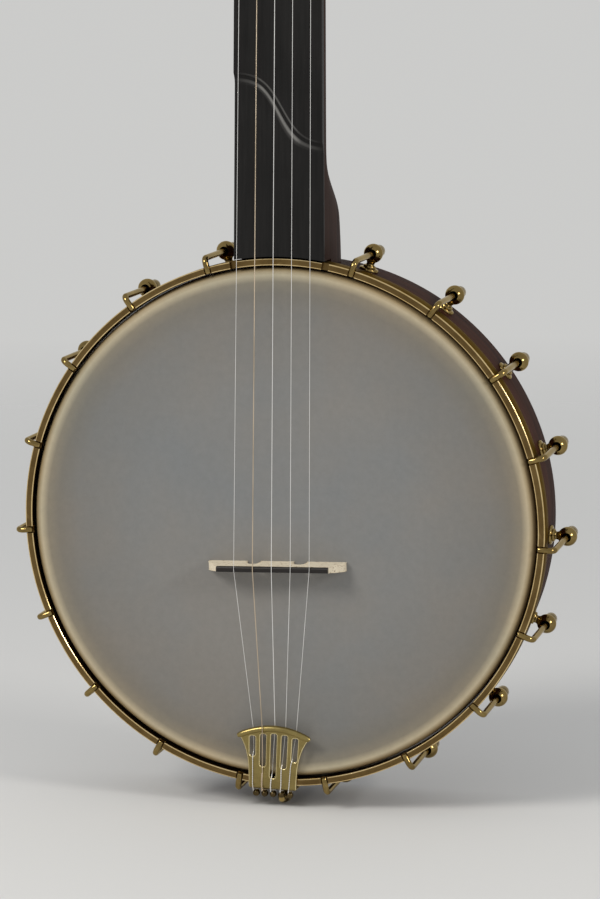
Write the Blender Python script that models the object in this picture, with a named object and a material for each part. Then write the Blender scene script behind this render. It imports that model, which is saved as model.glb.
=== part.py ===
"""Fretless five-string banjo with an open back, modelled in metres, +Z up along the neck.

The strings face -Y, the player's side is +Y, and the fifth string is on the -X side. The pieces are
laid out from the centre of the head's playing face, and the whole is then moved up, so that its
lowest point is at z = 0 and it is centred front to back.
"""
import math
import bpy
import bmesh
from mathutils import Matrix, Vector

MM = 0.001

# Clearances
SEAT = 0.3 * MM
RUN = 0.35 * MM

# Pot: rings that share the Y axis
RING_SIDES = 60
RIM_RADIUS = 152.4 * MM
RIM_WALL = 12.7 * MM
RIM_BACK = 69.5 * MM
RIM_SHOULDER = 1.2 * MM
RIM_ROUNDING = 2.0 * MM
SKIN = 0.5 * MM
TONE_ROD = 6.35 * MM
TONE_SIDES = 6
CROWN_STEPS = 3
COLLAR_END = 15.0 * MM
HOOP_WALL = 4.2 * MM
HOOP_HEIGHT = 13.0 * MM
HOOP_FRONT = -1.0 * MM
HOOP_PLAY = 1.3 * MM
HOOP_EDGE = 0.5 * MM
FLESH_WIDTH = 3.4 * MM
FLESH_HEIGHT = 3.2 * MM

# Brackets: hook, round shoe and nut
HOOKS_PER_SIDE = 9
FIRST_HOOK = math.radians(16.1)
EMPTY_NOTCH = math.radians(10.2)
HOOK_WIRE = 3.66 * MM
HOOK_SIDES = 6
HOOK_STAND_OFF = 3.6 * MM
HOOK_BEND = 3.6 * MM
HOOK_SHORT = 0.8 * MM
NOTCH_DEPTH = 2.6 * MM
SHOE_BACK = 49.0 * MM
SHOE_BALL = 11.6 * MM
SHOE_FLANGE = 11.6 * MM
SHOE_FLANGE_THICK = 1.5 * MM
SHOE_COLLAR = 7.6 * MM
SHOE_COLLAR_THICK = 1.5 * MM
SHOE_STEM = 5.4 * MM
SHOE_SIDES = 8
NUT_DIAMETER = 7.4 * MM
NUT_LENGTH = 9.0 * MM
THREAD_OVER = 4.5 * MM

# Strings and their line, from the tailpiece to the nut
SCALE = 665.5 * MM
BRIDGE_Z = -24.5 * MM
BRIDGE_X = -1.8 * MM
BRIDGE_SLANT = math.radians(1.5)
BRIDGE_HEIGHT = 15.9 * MM
BRIDGE_LENGTH = 83.6 * MM
BRIDGE_TOP_LENGTH = 68.0 * MM
BRIDGE_BASE_THICK = 5.0 * MM
BRIDGE_TOP_THICK = 3.2 * MM
BRIDGE_ARCH = 8.6 * MM
BRIDGE_ARCH_HEIGHT = 7.5 * MM
BRIDGE_MIDDLE_FOOT = 19.8 * MM
CAP_HEIGHT = 2.4 * MM
STRING_GAP_AT_BRIDGE = 11.5 * MM
STRING_GAP_AT_NUT = 9.9 * MM
STRING_DIAMETERS = (0.26 * MM, 0.30 * MM, 0.38 * MM, 0.56 * MM, 0.26 * MM)
STRING_ACTION_AT_NUT = 1.0 * MM
STRING_TURNS = 3
TURN_PITCH = 1.05 * MM
TURN_POINTS = 12

# Neck
BOARD_AT_CENTRE = -9.5 * MM
BOARD_SET_BACK = 0.0283
BOARD_THICK = 5.0 * MM
HEEL_HALF_WIDTH = 27.3 * MM
NUT_RIGHT = 24.0 * MM
NUT_LEFT = -13.8 * MM
PIP_LEFT = -25.4 * MM
PIP_Z = 474.0 * MM
STEP_BELOW_PEG = 6.0 * MM
STEP_LENGTH = 26.0 * MM
NECK_DEPTH = 17.0 * MM
HEEL_DEPTH = 57.0 * MM
HEEL_FOOT = 20.0 * MM
HEEL_SWEEP = 40.0 * MM
HEEL_STATIONS = 11
NECK_ROUNDNESS = 0.82
HEEL_ROUNDNESS = 0.26
HOOP_RELIEF = 1.0 * MM
SCOOP_FROM_HOOP = 86.5 * MM
SCOOP_SWING = 20.5 * MM
SCOOP_MIDDLE = 2.5 * MM
SCOOP_SPREAD = 12.0 * MM
SCOOP_DEPTH = 3.2 * MM
SCOOP_RAMP = 2.6 * MM
NUT_THICK = 5.0 * MM
PIP_DIAMETER = 3.4 * MM

# Peghead
HEAD_TILT = math.radians(13.0)
HEAD_CENTRE = 5.1 * MM
HEAD_LENGTH = 164.0 * MM
HEAD_WOOD = 12.2 * MM
OVERLAY = 2.5 * MM
HEAD_WAIST = 39.0 * MM
HEAD_LOBE = 62.0 * MM
HEAD_CROWN = 54.0 * MM
PEG_ROWS = (46.0 * MM, 100.0 * MM)
PEG_OFFSET = 18.0 * MM

# Tuning pegs
POST_RADIUS = 3.0 * MM
POST_WAIST = 2.5 * MM
POST_ABOVE = 15.5 * MM
POST_IN = 11.0 * MM
BUSH_RADIUS = 4.7 * MM
FRONT_NUT_RADIUS = 5.8 * MM
FRONT_NUT_THICK = 3.0 * MM
HOUSING_RADIUS = 8.2 * MM
HOUSING_LENGTH = 21.0 * MM
PEG_SIDES = 12
BUTTON_WIDE = 23.0 * MM
BUTTON_THICK = 9.5 * MM
BUTTON_LONG = 17.0 * MM
STEM_RADIUS = 2.1 * MM
STEM_GAP = 2.0 * MM
FIFTH_PEG_ABOVE_PIP = 14.0 * MM
FIFTH_PEG_SET_BACK = 8.0 * MM
FIFTH_POST = 9.0 * MM
FIFTH_BUSH_RADIUS = 3.76 * MM
FIFTH_BUSH_DEPTH = 12.0 * MM
FIFTH_BUSH_FACE = 1.6 * MM
FIFTH_JOURNAL = 2.0 * MM
FIFTH_SOCKET_LEFT = 2.0 * MM
CUP_DEPTH = 1.5 * MM
CASE_SOCKET = 3.0 * MM

# Dowel stick, brace and end bolt
DOWEL_Y = 40.0 * MM
DOWEL_WIDE = 22.0 * MM
DOWEL_DEEP = 27.0 * MM
DOWEL_TAIL_WIDE = 17.0 * MM
DOWEL_TAIL_DEEP = 22.0 * MM
DOWEL_TENON = 14.0 * MM
BRACE_THICK = 2.5 * MM
BRACE_MARGIN = 8.0 * MM
BOLT_RADIUS = 3.2 * MM
BOLT_HEAD_RADIUS = 7.0 * MM
BOLT_HEAD_HEIGHT = 8.0 * MM
BOLT_IN_DOWEL = 18.0 * MM

# Tailpiece
TAIL_X = -5.2 * MM
TAIL_TILT = math.radians(-3.2)
TAIL_SHEET = 1.3 * MM
TAIL_TOP_WIDTH = 45.0 * MM
TAIL_FOOT_WIDTH = 29.5 * MM
TAIL_LENGTH = 32.8 * MM
TAIL_BULGE = 5.6 * MM
TAIL_LIP_Y = -7.4 * MM
TAIL_LIP = 2.6 * MM
TAIL_SLOT = 3.5 * MM
SLOT_GAP_AT_TOP = 6.5 * MM
SLOT_GAP_AT_FOOT = 6.2 * MM
SLOT_BELOW_EDGE = 4.0 * MM
STRING_GAP_AT_LIP = 6.62 * MM
TAIL_SLOT_ENDS = (19.5 * MM, 13.2 * MM, 6.1 * MM, 12.7 * MM, 17.4 * MM)
PIN_GAP = 5.2 * MM
STRING_GAP_AT_FOOT = 5.55 * MM
PIN_BALL = 4.3 * MM
PIN_NECK = 2.3 * MM
PIN_Y = 3.4 * MM
PIN_STAND = 3.6 * MM
HANGER_ROD = 3.6 * MM
HANGER_NUT = 7.2 * MM
HANGER_DROP = 7.2 * MM
HANGER_ASIDE = 4.4 * MM
HANGER_TAB_WIDTH = 8.0 * MM
HANGER_TAB_Y = 16.0 * MM
HANGER_EYE = 14.0 * MM
HANGER_EYE_THICK = 2.0 * MM
TAIL_REACH = 60.0 * MM
FAN_FLOOR = 0.5 * MM
FAN_SWEEP = ((0.14, 0.36), (0.34, 0.70), (0.60, 0.93))
STRING_LOOP = 0.72

# Sizes that follow from the ones above
TONE_RADIUS = RIM_RADIUS - TONE_ROD / 2
TONE_Y = SKIN + SEAT + TONE_ROD / 2
RIM_FRONT = TONE_Y + TONE_ROD / 2 + SEAT
CROWN_OUTER = TONE_ROD / 2 + SEAT + SKIN
COLLAR_RADIUS = TONE_RADIUS + CROWN_OUTER
RIM_OUTSIDE = RIM_RADIUS + RIM_SHOULDER
HOOP_INNER = COLLAR_RADIUS + HOOP_PLAY
HOOP_OUTER = HOOP_INNER + HOOP_WALL
HOOP_BACK = HOOP_FRONT + HOOP_HEIGHT
FLESH_INNER = COLLAR_RADIUS + SEAT
FLESH_FRONT = HOOP_BACK + SEAT
FLESH_BACK = FLESH_FRONT + FLESH_HEIGHT
SHOULDER_Y = FLESH_BACK + HOOP_RELIEF
HOOK_RADIUS = HOOP_OUTER + HOOK_STAND_OFF + HOOK_WIRE / 2
NOTCH_WIDTH = HOOK_WIRE + 2 * SEAT
HOOK_GAP = (2 * math.pi - 2 * FIRST_HOOK) / (2 * HOOKS_PER_SIDE - 1)
NUT_Z = BRIDGE_Z + SCALE
BOARD_END = HOOP_OUTER + HOOP_RELIEF
HEEL_RISE_END = BOARD_END + HEEL_FOOT
HEEL_RISE_START = HEEL_RISE_END + HEEL_SWEEP
SCOOP_Z = BOARD_END + SCOOP_FROM_HOOP
FIFTH_PEG_Z = PIP_Z + FIFTH_PEG_ABOVE_PIP
TAIL_FOOT_Z = -(HOOP_OUTER + SEAT + TAIL_SHEET)
TAIL_TOP_Z = TAIL_FOOT_Z + TAIL_LENGTH
HANGER_Z = TAIL_FOOT_Z - TAIL_SHEET - HANGER_DROP


def start_clean():
    for thing in list(bpy.data.objects):
        bpy.data.objects.remove(thing, do_unlink=True)


def material(name, colour, roughness, metallic=0.0):
    made = bpy.data.materials.get(name)
    if made:
        return made
    made = bpy.data.materials.new(name)
    made.use_nodes = True
    shader = made.node_tree.nodes["Principled BSDF"]
    shader.inputs["Base Color"].default_value = (*colour, 1.0)
    shader.inputs["Roughness"].default_value = roughness
    shader.inputs["Metallic"].default_value = metallic
    return made


def walnut():
    return material("rim walnut", (0.085, 0.036, 0.018), 0.35)


def dark_neck():
    return material("neck walnut", (0.040, 0.019, 0.011), 0.38)


def black_board():
    return material("black board", (0.012, 0.011, 0.010), 0.45)


def maple():
    return material("bridge maple", (0.62, 0.48, 0.30), 0.5)


def aged_brass():
    return material("aged brass", (0.36, 0.26, 0.11), 0.33, 1.0)


def frosted_skin():
    return material("frosted skin", (0.42, 0.41, 0.37), 0.75)


def bright_wire():
    return material("steel string", (0.62, 0.62, 0.60), 0.25, 1.0)


def bronze_wire():
    return material("bronze string", (0.58, 0.36, 0.18), 0.35, 1.0)


def bone():
    return material("bone", (0.78, 0.72, 0.60), 0.4)


def new_object(name, mesh, surface, smooth=35.0):
    made = bpy.data.objects.new(name, mesh)
    bpy.context.scene.collection.objects.link(made)
    mesh.materials.clear()
    mesh.materials.append(surface)
    if smooth:
        mesh.shade_smooth()
        mesh.set_sharp_from_angle(angle=math.radians(smooth))
    return made


def from_bmesh(name, shape, surface, smooth=35.0):
    bmesh.ops.remove_doubles(shape, verts=shape.verts, dist=1e-7)
    bmesh.ops.recalc_face_normals(shape, faces=shape.faces)
    mesh = bpy.data.meshes.new(name)
    shape.to_mesh(mesh)
    shape.free()
    return new_object(name, mesh, surface, smooth)


def revolve(shape, profile, sides, closed=False, place=None):
    """Spin (radius, height) points about the local Z axis, then move them by the matrix."""
    verts = [shape.verts.new((r, 0.0, h)) for r, h in profile]
    pairs = list(zip(verts, verts[1:])) + ([(verts[-1], verts[0])] if closed else [])
    edges = [shape.edges.new(pair) for pair in pairs]
    before = set(shape.verts) - set(verts)
    bmesh.ops.spin(shape, geom=verts + edges, cent=(0, 0, 0), axis=(0, 0, 1), dvec=(0, 0, 0),
                   angle=2 * math.pi, steps=sides, use_merge=True)
    fresh = [v for v in shape.verts if v not in before]
    bmesh.ops.remove_doubles(shape, verts=fresh, dist=1e-7)
    fresh = [v for v in shape.verts if v not in before]
    if place is not None:
        bmesh.ops.transform(shape, matrix=place, verts=fresh)


def turned(name, profile, sides, surface, place=None, closed=False, smooth=35.0):
    shape = bmesh.new()
    revolve(shape, profile, sides, closed, place)
    return from_bmesh(name, shape, surface, smooth)


def y_axis():
    """Local +Z becomes world +Y, for the rings of the pot."""
    return Matrix.Rotation(math.radians(-90), 4, "X")


def along(point, direction, across=None):
    """A frame at the point whose local +Z is the direction."""
    z = Vector(direction).normalized()
    x = Vector(across) if across else z.orthogonal()
    x = (x - z * x.dot(z)).normalized()
    y = z.cross(x)
    turn = Matrix((x, y, z)).transposed().to_4x4()
    return Matrix.Translation(Vector(point)) @ turn


def prism(shape, outline, start, end, place=None):
    """Extrude a closed (x, y) outline from one local height to the other."""
    low = [shape.verts.new((x, y, start)) for x, y in outline]
    face = shape.faces.new(low)
    made = bmesh.ops.extrude_face_region(shape, geom=[face])
    top = [v for v in made["geom"] if isinstance(v, bmesh.types.BMVert)]
    bmesh.ops.translate(shape, verts=top, vec=(0, 0, end - start))
    if place is not None:
        bmesh.ops.transform(shape, matrix=place, verts=low + top)


def loft(shape, sections):
    """Join equal closed sections end to end and cap both ends."""
    rings = [[shape.verts.new(p) for p in section] for section in sections]
    for near, far in zip(rings, rings[1:]):
        for k in range(len(near)):
            j = (k + 1) % len(near)
            shape.faces.new((near[k], near[j], far[j], far[k]))
    shape.faces.new(rings[0])
    shape.faces.new(list(reversed(rings[-1])))


def tube(name, points, radius, surface, resolution=1, tapers=None):
    """A round tube through the points, with filled ends, as a mesh object."""
    curve = bpy.data.curves.new(name, "CURVE")
    curve.dimensions = "3D"
    curve.twist_mode = "MINIMUM"
    curve.bevel_depth = radius
    curve.bevel_resolution = resolution
    curve.use_fill_caps = True
    line = curve.splines.new("POLY")
    line.points.add(len(points) - 1)
    for k, p in enumerate(points):
        line.points[k].co = (*p, 1.0)
        line.points[k].radius = tapers[k] if tapers else 1.0
    holder = bpy.data.objects.new(name + " line", curve)
    bpy.context.scene.collection.objects.link(holder)
    seen = holder.evaluated_get(bpy.context.evaluated_depsgraph_get())
    mesh = bpy.data.meshes.new_from_object(seen)
    bpy.data.objects.remove(holder, do_unlink=True)
    shape = bmesh.new()
    shape.from_mesh(mesh)
    bpy.data.meshes.remove(mesh)
    return from_bmesh(name, shape, surface)


def combine(target, tools, operation):
    """Join or cut the target with each tool in turn and keep the result as its mesh."""
    for tool in tools:
        step = target.modifiers.new(operation.lower(), "BOOLEAN")
        step.operation = operation
        step.solver = "EXACT"
        step.object = tool
    seen = target.evaluated_get(bpy.context.evaluated_depsgraph_get())
    mesh = bpy.data.meshes.new_from_object(seen)
    target.modifiers.clear()
    surface = target.data.materials[0]
    target.data = mesh
    mesh.materials.clear()
    mesh.materials.append(surface)
    for tool in tools:
        bpy.data.objects.remove(tool, do_unlink=True)
    return target


def weld(target, distance=2e-6):
    """Merge points that a cut left all but touching."""
    shape = bmesh.new()
    shape.from_mesh(target.data)
    bmesh.ops.remove_doubles(shape, verts=shape.verts, dist=distance)
    bmesh.ops.dissolve_degenerate(shape, edges=shape.edges, dist=distance)
    shape.to_mesh(target.data)
    shape.free()


def hook_angles():
    """Nine hooks down each side, none where the neck meets the pot."""
    side = [FIRST_HOOK + k * HOOK_GAP for k in range(HOOKS_PER_SIDE)]
    return [-a for a in side] + [a for a in reversed(side)]


def smooth_step(value):
    t = min(1.0, max(0.0, value))
    return t * t * (3.0 - 2.0 * t)


def blend(start, end, t):
    return start + (end - start) * t


# Pot

def build_rim():
    """A hoop of wood, turned down in front of its shoulder to let the head's collar over it."""
    inner = RIM_RADIUS - RIM_WALL
    profile = [(inner, RIM_FRONT), (RIM_RADIUS, RIM_FRONT), (RIM_RADIUS, SHOULDER_Y),
               (RIM_OUTSIDE, SHOULDER_Y), (RIM_OUTSIDE, RIM_BACK - RIM_ROUNDING),
               (RIM_OUTSIDE - RIM_ROUNDING, RIM_BACK), (inner + RIM_ROUNDING, RIM_BACK),
               (inner, RIM_BACK - RIM_ROUNDING)]
    rim = turned("rim", profile, RING_SIDES, walnut(), y_axis(), closed=True)
    mortise = bmesh.new()
    wide, deep = DOWEL_WIDE / 2 + SEAT, DOWEL_DEEP / 2 + SEAT
    prism(mortise, rectangle(wide, deep), inner - RIM_WALL, RIM_RADIUS + RIM_WALL,
          Matrix.Translation((0, DOWEL_Y, 0)))
    bolt_way = turned("bolt way", rod(BOLT_RADIUS + SEAT, -RIM_RADIUS - RIM_WALL, -inner + RIM_WALL), 12,
                      walnut(), Matrix.Translation((0, DOWEL_Y, 0)))
    return combine(rim, [from_bmesh("mortise", mortise, walnut()), bolt_way], "DIFFERENCE")


def rectangle(half_x, half_y):
    return [(-half_x, -half_y), (half_x, -half_y), (half_x, half_y), (-half_x, half_y)]


def rod(radius, start, end):
    return [(0.0, start), (radius, start), (radius, end), (0.0, end)]


def build_tone_ring():
    circle = [(TONE_RADIUS + TONE_ROD / 2 * math.cos(a), TONE_Y + TONE_ROD / 2 * math.sin(a))
              for a in (2 * math.pi * k / TONE_SIDES for k in range(TONE_SIDES))]
    return turned("tone_ring", circle, RING_SIDES, aged_brass(), y_axis(), closed=True, smooth=60)


def build_head():
    """The skin: flat face, crown over the tone ring and collar down into the flesh hoop."""
    turns = [math.pi / 2 * k / CROWN_STEPS for k in range(CROWN_STEPS + 1)]
    outer = [(TONE_RADIUS + CROWN_OUTER * math.sin(a), TONE_Y - CROWN_OUTER * math.cos(a)) for a in turns]
    bend = CROWN_OUTER - SKIN
    inner = [(TONE_RADIUS + bend * math.sin(a), TONE_Y - bend * math.cos(a)) for a in turns]
    profile = [(0.0, 0.0)] + outer + [(COLLAR_RADIUS, COLLAR_END), (COLLAR_RADIUS - SKIN, COLLAR_END)]
    profile += list(reversed(inner)) + [(0.0, SKIN)]
    return turned("head_skin", profile, RING_SIDES, frosted_skin(), y_axis(), smooth=40)


def build_flesh_hoop():
    profile = [(FLESH_INNER, FLESH_FRONT), (FLESH_INNER + FLESH_WIDTH, FLESH_FRONT),
               (FLESH_INNER + FLESH_WIDTH, FLESH_BACK), (FLESH_INNER, FLESH_BACK)]
    metal = material("flesh hoop aluminium", (0.5, 0.5, 0.5), 0.4, 1.0)
    return turned("flesh_hoop", profile, RING_SIDES, metal, y_axis(), closed=True)


def build_tension_hoop():
    """A flat bar bent to a ring, its front edge notched for every hook and twice beside the neck."""
    e = HOOP_EDGE
    profile = [(HOOP_INNER, HOOP_FRONT + e), (HOOP_INNER + e, HOOP_FRONT), (HOOP_OUTER - e, HOOP_FRONT),
               (HOOP_OUTER, HOOP_FRONT + e), (HOOP_OUTER, HOOP_BACK), (HOOP_INNER, HOOP_BACK)]
    hoop = turned("tension_hoop", profile, RING_SIDES, aged_brass(), y_axis(), closed=True)
    cuts = bmesh.new()
    outline = rectangle(NOTCH_WIDTH / 2, NOTCH_DEPTH)
    for angle in hook_angles() + [-EMPTY_NOTCH, EMPTY_NOTCH]:
        prism(cuts, outline, HOOP_INNER - HOOP_WALL, HOOP_OUTER + HOOP_WALL,
              Matrix.Rotation(angle, 4, "Y") @ Matrix.Translation((0, HOOP_FRONT, 0)))
    return combine(hoop, [from_bmesh("notches", cuts, aged_brass())], "DIFFERENCE")


# Brackets

def hook_path():
    """Centre line of the hook at the top of the pot, from its tip over the hoop to its nut end."""
    over = HOOP_FRONT + NOTCH_DEPTH - SEAT - HOOK_WIRE / 2
    tip = HOOP_INNER + HOOK_SHORT
    points = [(tip, over + HOOK_WIRE * 0.12), (tip + HOOK_WIRE * 0.35, over)]
    bend = HOOK_BEND
    for k in range(3):
        a = math.pi / 2 * k / 2
        points.append((HOOK_RADIUS - bend + bend * math.sin(a), over + bend * (1 - math.cos(a))))
    points.append((HOOK_RADIUS, SHOE_BACK))
    return [Vector((0.0, y, r)) for r, y in points]


def shoe_profile():
    """From the rim outwards: flange, collar, stem and ball."""
    ball = SHOE_BALL / 2
    low = RIM_OUTSIDE + SEAT
    flange_top = low + SHOE_FLANGE_THICK
    collar_top = flange_top + SHOE_COLLAR_THICK
    centre = HOOK_RADIUS
    start = math.acos(SHOE_STEM / 2 / ball)
    profile = [(0.0, low), (SHOE_FLANGE / 2, low), (SHOE_FLANGE / 2 * 0.86, flange_top),
               (SHOE_COLLAR / 2, flange_top), (SHOE_STEM / 2, collar_top)]
    rows = 4
    for k in range(1, rows):
        a = -start + (math.pi / 2 + start) * k / rows
        profile.append((ball * math.cos(a), centre + ball * math.sin(a)))
    profile.append((0.0, centre + ball))
    return profile


def bracket_nut_profile():
    """Round nut behind the ball, with a wider foot and the thread standing out of it."""
    start = SHOE_BACK + SHOE_BALL / 2 * 0.7
    end = SHOE_BACK + SHOE_BALL / 2 + NUT_LENGTH
    r, w = NUT_DIAMETER / 2, HOOK_WIRE / 2
    tip = end + THREAD_OVER
    return [(0.0, start), (r, start), (r * 0.86, end), (w, end), (w, tip), (0.0, tip)]


def bracket_mesh():
    """Hook, ball shoe and nut as one cast shape, at the top of the pot."""
    place = Matrix.Translation((0, SHOE_BACK, 0))
    shoe = turned("bracket shape", shoe_profile(), SHOE_SIDES, aged_brass(), place)
    path = hook_path()
    tapers = [0.62] + [1.0] * (len(path) - 1)
    hook = tube("hook", path, HOOK_WIRE / 2, aged_brass(), HOOK_SIDES // 2 - 2, tapers)
    turn = Matrix.Translation((0, 0, HOOK_RADIUS)) @ y_axis()
    nut = turned("nut body", bracket_nut_profile(), HOOK_SIDES, aged_brass(), turn)
    combine(shoe, [hook, nut], "UNION")
    weld(shoe)
    mesh = shoe.data
    bpy.data.objects.remove(shoe, do_unlink=True)
    mesh.shade_smooth()
    mesh.set_sharp_from_angle(angle=math.radians(35))
    return mesh


def build_brackets():
    mesh = bracket_mesh()
    for k, angle in enumerate(hook_angles()):
        bracket = bpy.data.objects.new("bracket_%02d" % (k + 1), mesh)
        bpy.context.scene.collection.objects.link(bracket)
        bracket.rotation_euler = (0.0, angle, 0.0)


# Neck

def board_y(z):
    """Front plane of the fingerboard, set back towards the nut."""
    return BOARD_AT_CENTRE + BOARD_SET_BACK * z


def left_edge(z):
    """Bass side: wide below the fifth string's peg, then stepped in to four strings' width."""
    step_start = FIFTH_PEG_Z - STEP_BELOW_PEG
    low = blend(-HEEL_HALF_WIDTH, PIP_LEFT, (z - BOARD_END) / (PIP_Z - BOARD_END))
    high = NUT_LEFT - (NUT_Z - z) * (NUT_RIGHT - HEEL_HALF_WIDTH) / (BOARD_END - NUT_Z)
    return blend(low, high, smooth_step((z - step_start) / STEP_LENGTH))


def right_edge(z):
    return blend(HEEL_HALF_WIDTH, NUT_RIGHT, (z - BOARD_END) / (NUT_Z - BOARD_END))


def neck_stations():
    """Heights of the neck's sections, closer together at the heel, the step and the peghead."""
    heel = [RIM_RADIUS - RIM_WALL / 2]
    heel += [blend(HEEL_RISE_END, HEEL_RISE_START, k / HEEL_STATIONS) for k in range(HEEL_STATIONS + 1)]
    step_start = FIFTH_PEG_Z - STEP_BELOW_PEG
    step = [step_start + STEP_LENGTH * k / 5 for k in range(6)]
    shaft = [blend(HEEL_RISE_START, step_start, t) for t in (0.25, 0.6, 0.9)]
    upper = [blend(step[-1], NUT_Z, t) for t in (0.3, 0.7, 1.0)]
    return heel + shaft + step + upper


def neck_section(z, depth, roundness, lift=0.0):
    """Flat front under the board, straight sides, rounded back."""
    left, right = left_edge(z), right_edge(z)
    middle, half = (left + right) / 2, (right - left) / 2
    front = board_y(z) + BOARD_THICK + SEAT + lift
    side = min(3.0 * MM, depth * 0.2)
    points = [Vector((left, front, z)), Vector((right, front, z))]
    steps = 10
    for k in range(steps + 1):
        a = math.pi * k / steps
        reach = math.copysign(abs(math.cos(a)) ** roundness, math.cos(a)) if 2 * k != steps else 0.0
        points.append(Vector((middle + half * reach, front + side + (depth - side) * math.sin(a) ** 0.85, z)))
    return points


def neck_shaft():
    """Heel swept up from the pot in a double curve, shaft and the start of the peghead's back."""
    sections = []
    for z in neck_stations():
        heel = smooth_step((HEEL_RISE_START - z) / (HEEL_RISE_START - HEEL_RISE_END))
        depth = blend(NECK_DEPTH, HEEL_DEPTH, heel)
        sections.append(neck_section(z, depth, blend(NECK_ROUNDNESS, HEEL_ROUNDNESS, heel)))
    for past, share in ((8.0 * MM, 0.9), (18.0 * MM, 0.62)):
        lift = past * math.tan(HEAD_TILT)
        sections.append(neck_section(NUT_Z + past, NECK_DEPTH * share, NECK_ROUNDNESS, lift))
    shape = bmesh.new()
    loft(shape, sections)
    return from_bmesh("neck", shape, dark_neck(), 40)


def head_frame():
    """Peghead's frame: local X across, local Y up the peghead, local Z out of its face."""
    corner = Vector((HEAD_CENTRE, board_y(NUT_Z) + 1.0 * MM, NUT_Z + NUT_THICK / 2))
    out = Vector((0.0, -math.cos(HEAD_TILT), math.sin(HEAD_TILT)))
    return along(corner, out, (1.0, 0.0, 0.0))


def head_outline(start):
    """Half widths up the peghead, mirrored: slim at the nut, a long lobe, a waist and a flared top."""
    knots = ((0.0, HEAD_WAIST), (0.07, HEAD_WAIST), (0.19, HEAD_LOBE * 0.92), (0.30, HEAD_LOBE),
             (0.55, HEAD_LOBE * 0.97), (0.72, HEAD_LOBE * 0.82), (0.80, HEAD_WAIST * 1.08),
             (0.88, HEAD_CROWN * 0.88), (0.95, HEAD_CROWN))
    right = [(width / 2, start if k == 0 else HEAD_LENGTH * share) for k, (share, width) in enumerate(knots)]
    top = [(HEAD_CROWN / 2 * s, HEAD_LENGTH * (0.95 + 0.05 * math.cos(s * math.pi / 2) ** 0.5))
           for s in (0.75, 0.4, 0.0)]
    half = right + top
    return half + [(-x, y) for x, y in reversed(half[:-1])]


def head_back():
    """Height of the peghead's back in its own frame."""
    return -OVERLAY - SEAT - HEAD_WOOD


def peg_places():
    """Four pegs, numbered by the string each one carries: first and second right, third and fourth left."""
    low, high = PEG_ROWS
    return {4: (-PEG_OFFSET, low), 3: (-PEG_OFFSET, high), 2: (PEG_OFFSET, high), 1: (PEG_OFFSET, low)}


def peg_holes(depth, above):
    shape = bmesh.new()
    for x, y in peg_places().values():
        revolve(shape, rod(BUSH_RADIUS + SEAT, -depth, above), PEG_SIDES,
                place=head_frame() @ Matrix.Translation((x, y, 0)))
    return from_bmesh("peg holes", shape, dark_neck())


def heel_cutter():
    """The pot's own outline, so the heel butts the rim and clears the hoop and its hooks."""
    profile = [(0.0, -HEEL_DEPTH), (BOARD_END, -HEEL_DEPTH), (BOARD_END, SHOULDER_Y),
               (RIM_OUTSIDE + SEAT, SHOULDER_Y), (RIM_OUTSIDE + SEAT, 2 * HEEL_DEPTH), (0.0, 2 * HEEL_DEPTH)]
    return turned("pot outline", profile, RING_SIDES, dark_neck(), y_axis())


def dowel_cutter():
    shape = bmesh.new()
    wide, deep = DOWEL_WIDE / 2 + SEAT, DOWEL_DEEP / 2 + SEAT
    prism(shape, rectangle(wide, deep), RIM_RADIUS - RIM_WALL, RIM_RADIUS + DOWEL_TENON + SEAT,
          Matrix.Translation((0, DOWEL_Y, 0)))
    return from_bmesh("dowel socket", shape, dark_neck())


def fifth_peg_frame():
    """Fifth peg's axis: local Z points out of the bass side of the neck, through the step's shoulder."""
    depth = board_y(FIFTH_PEG_Z) + BOARD_THICK + SEAT + NECK_DEPTH * 0.42
    return along((PIP_LEFT, depth, FIFTH_PEG_Z - FIFTH_PEG_SET_BACK), (-1.0, 0.0, 0.0), (0.0, 0.0, 1.0))


def build_neck():
    neck = neck_shaft()
    head = bmesh.new()
    prism(head, head_outline(4 * SEAT), head_back(), -OVERLAY - SEAT, head_frame())
    combine(neck, [from_bmesh("head block", head, dark_neck())], "UNION")
    bush = turned("fifth hole", rod(FIFTH_BUSH_RADIUS + SEAT, -FIFTH_BUSH_DEPTH - SEAT, POST_ABOVE), 12,
                  dark_neck(), fifth_peg_frame())
    tools = [peg_holes(HEAD_WOOD + 3 * OVERLAY, 2 * OVERLAY), heel_cutter(), dowel_cutter(), bush]
    combine(neck, tools, "DIFFERENCE")
    weld(neck)
    return neck


def scoop_line(x):
    """The S-shaped edge between the playing surface and the scooped end."""
    return SCOOP_Z - SCOOP_SWING * math.tanh((x - SCOOP_MIDDLE) / SCOOP_SPREAD)


def scoop_cutter():
    """Everything in front of the scooped end, ramped along the S-shaped edge."""
    over = HEEL_HALF_WIDTH + 4.0 * MM
    steps = 14
    xs = [-over + 2 * over * k / steps for k in range(steps + 1)]
    low = BOARD_END - 12.0 * MM
    front, floor = -8.0 * MM, SCOOP_DEPTH
    sections = []
    for x in xs:
        edge = scoop_line(x)
        slope = SCOOP_RAMP / SCOOP_DEPTH
        points = ((front, low), (front, edge - front * slope), (floor, edge - SCOOP_RAMP), (floor, low))
        sections.append([Vector((x, board_y(z) + y, z)) for y, z in points])
    shape = bmesh.new()
    loft(shape, sections)
    return from_bmesh("scoop", shape, black_board())


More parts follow.
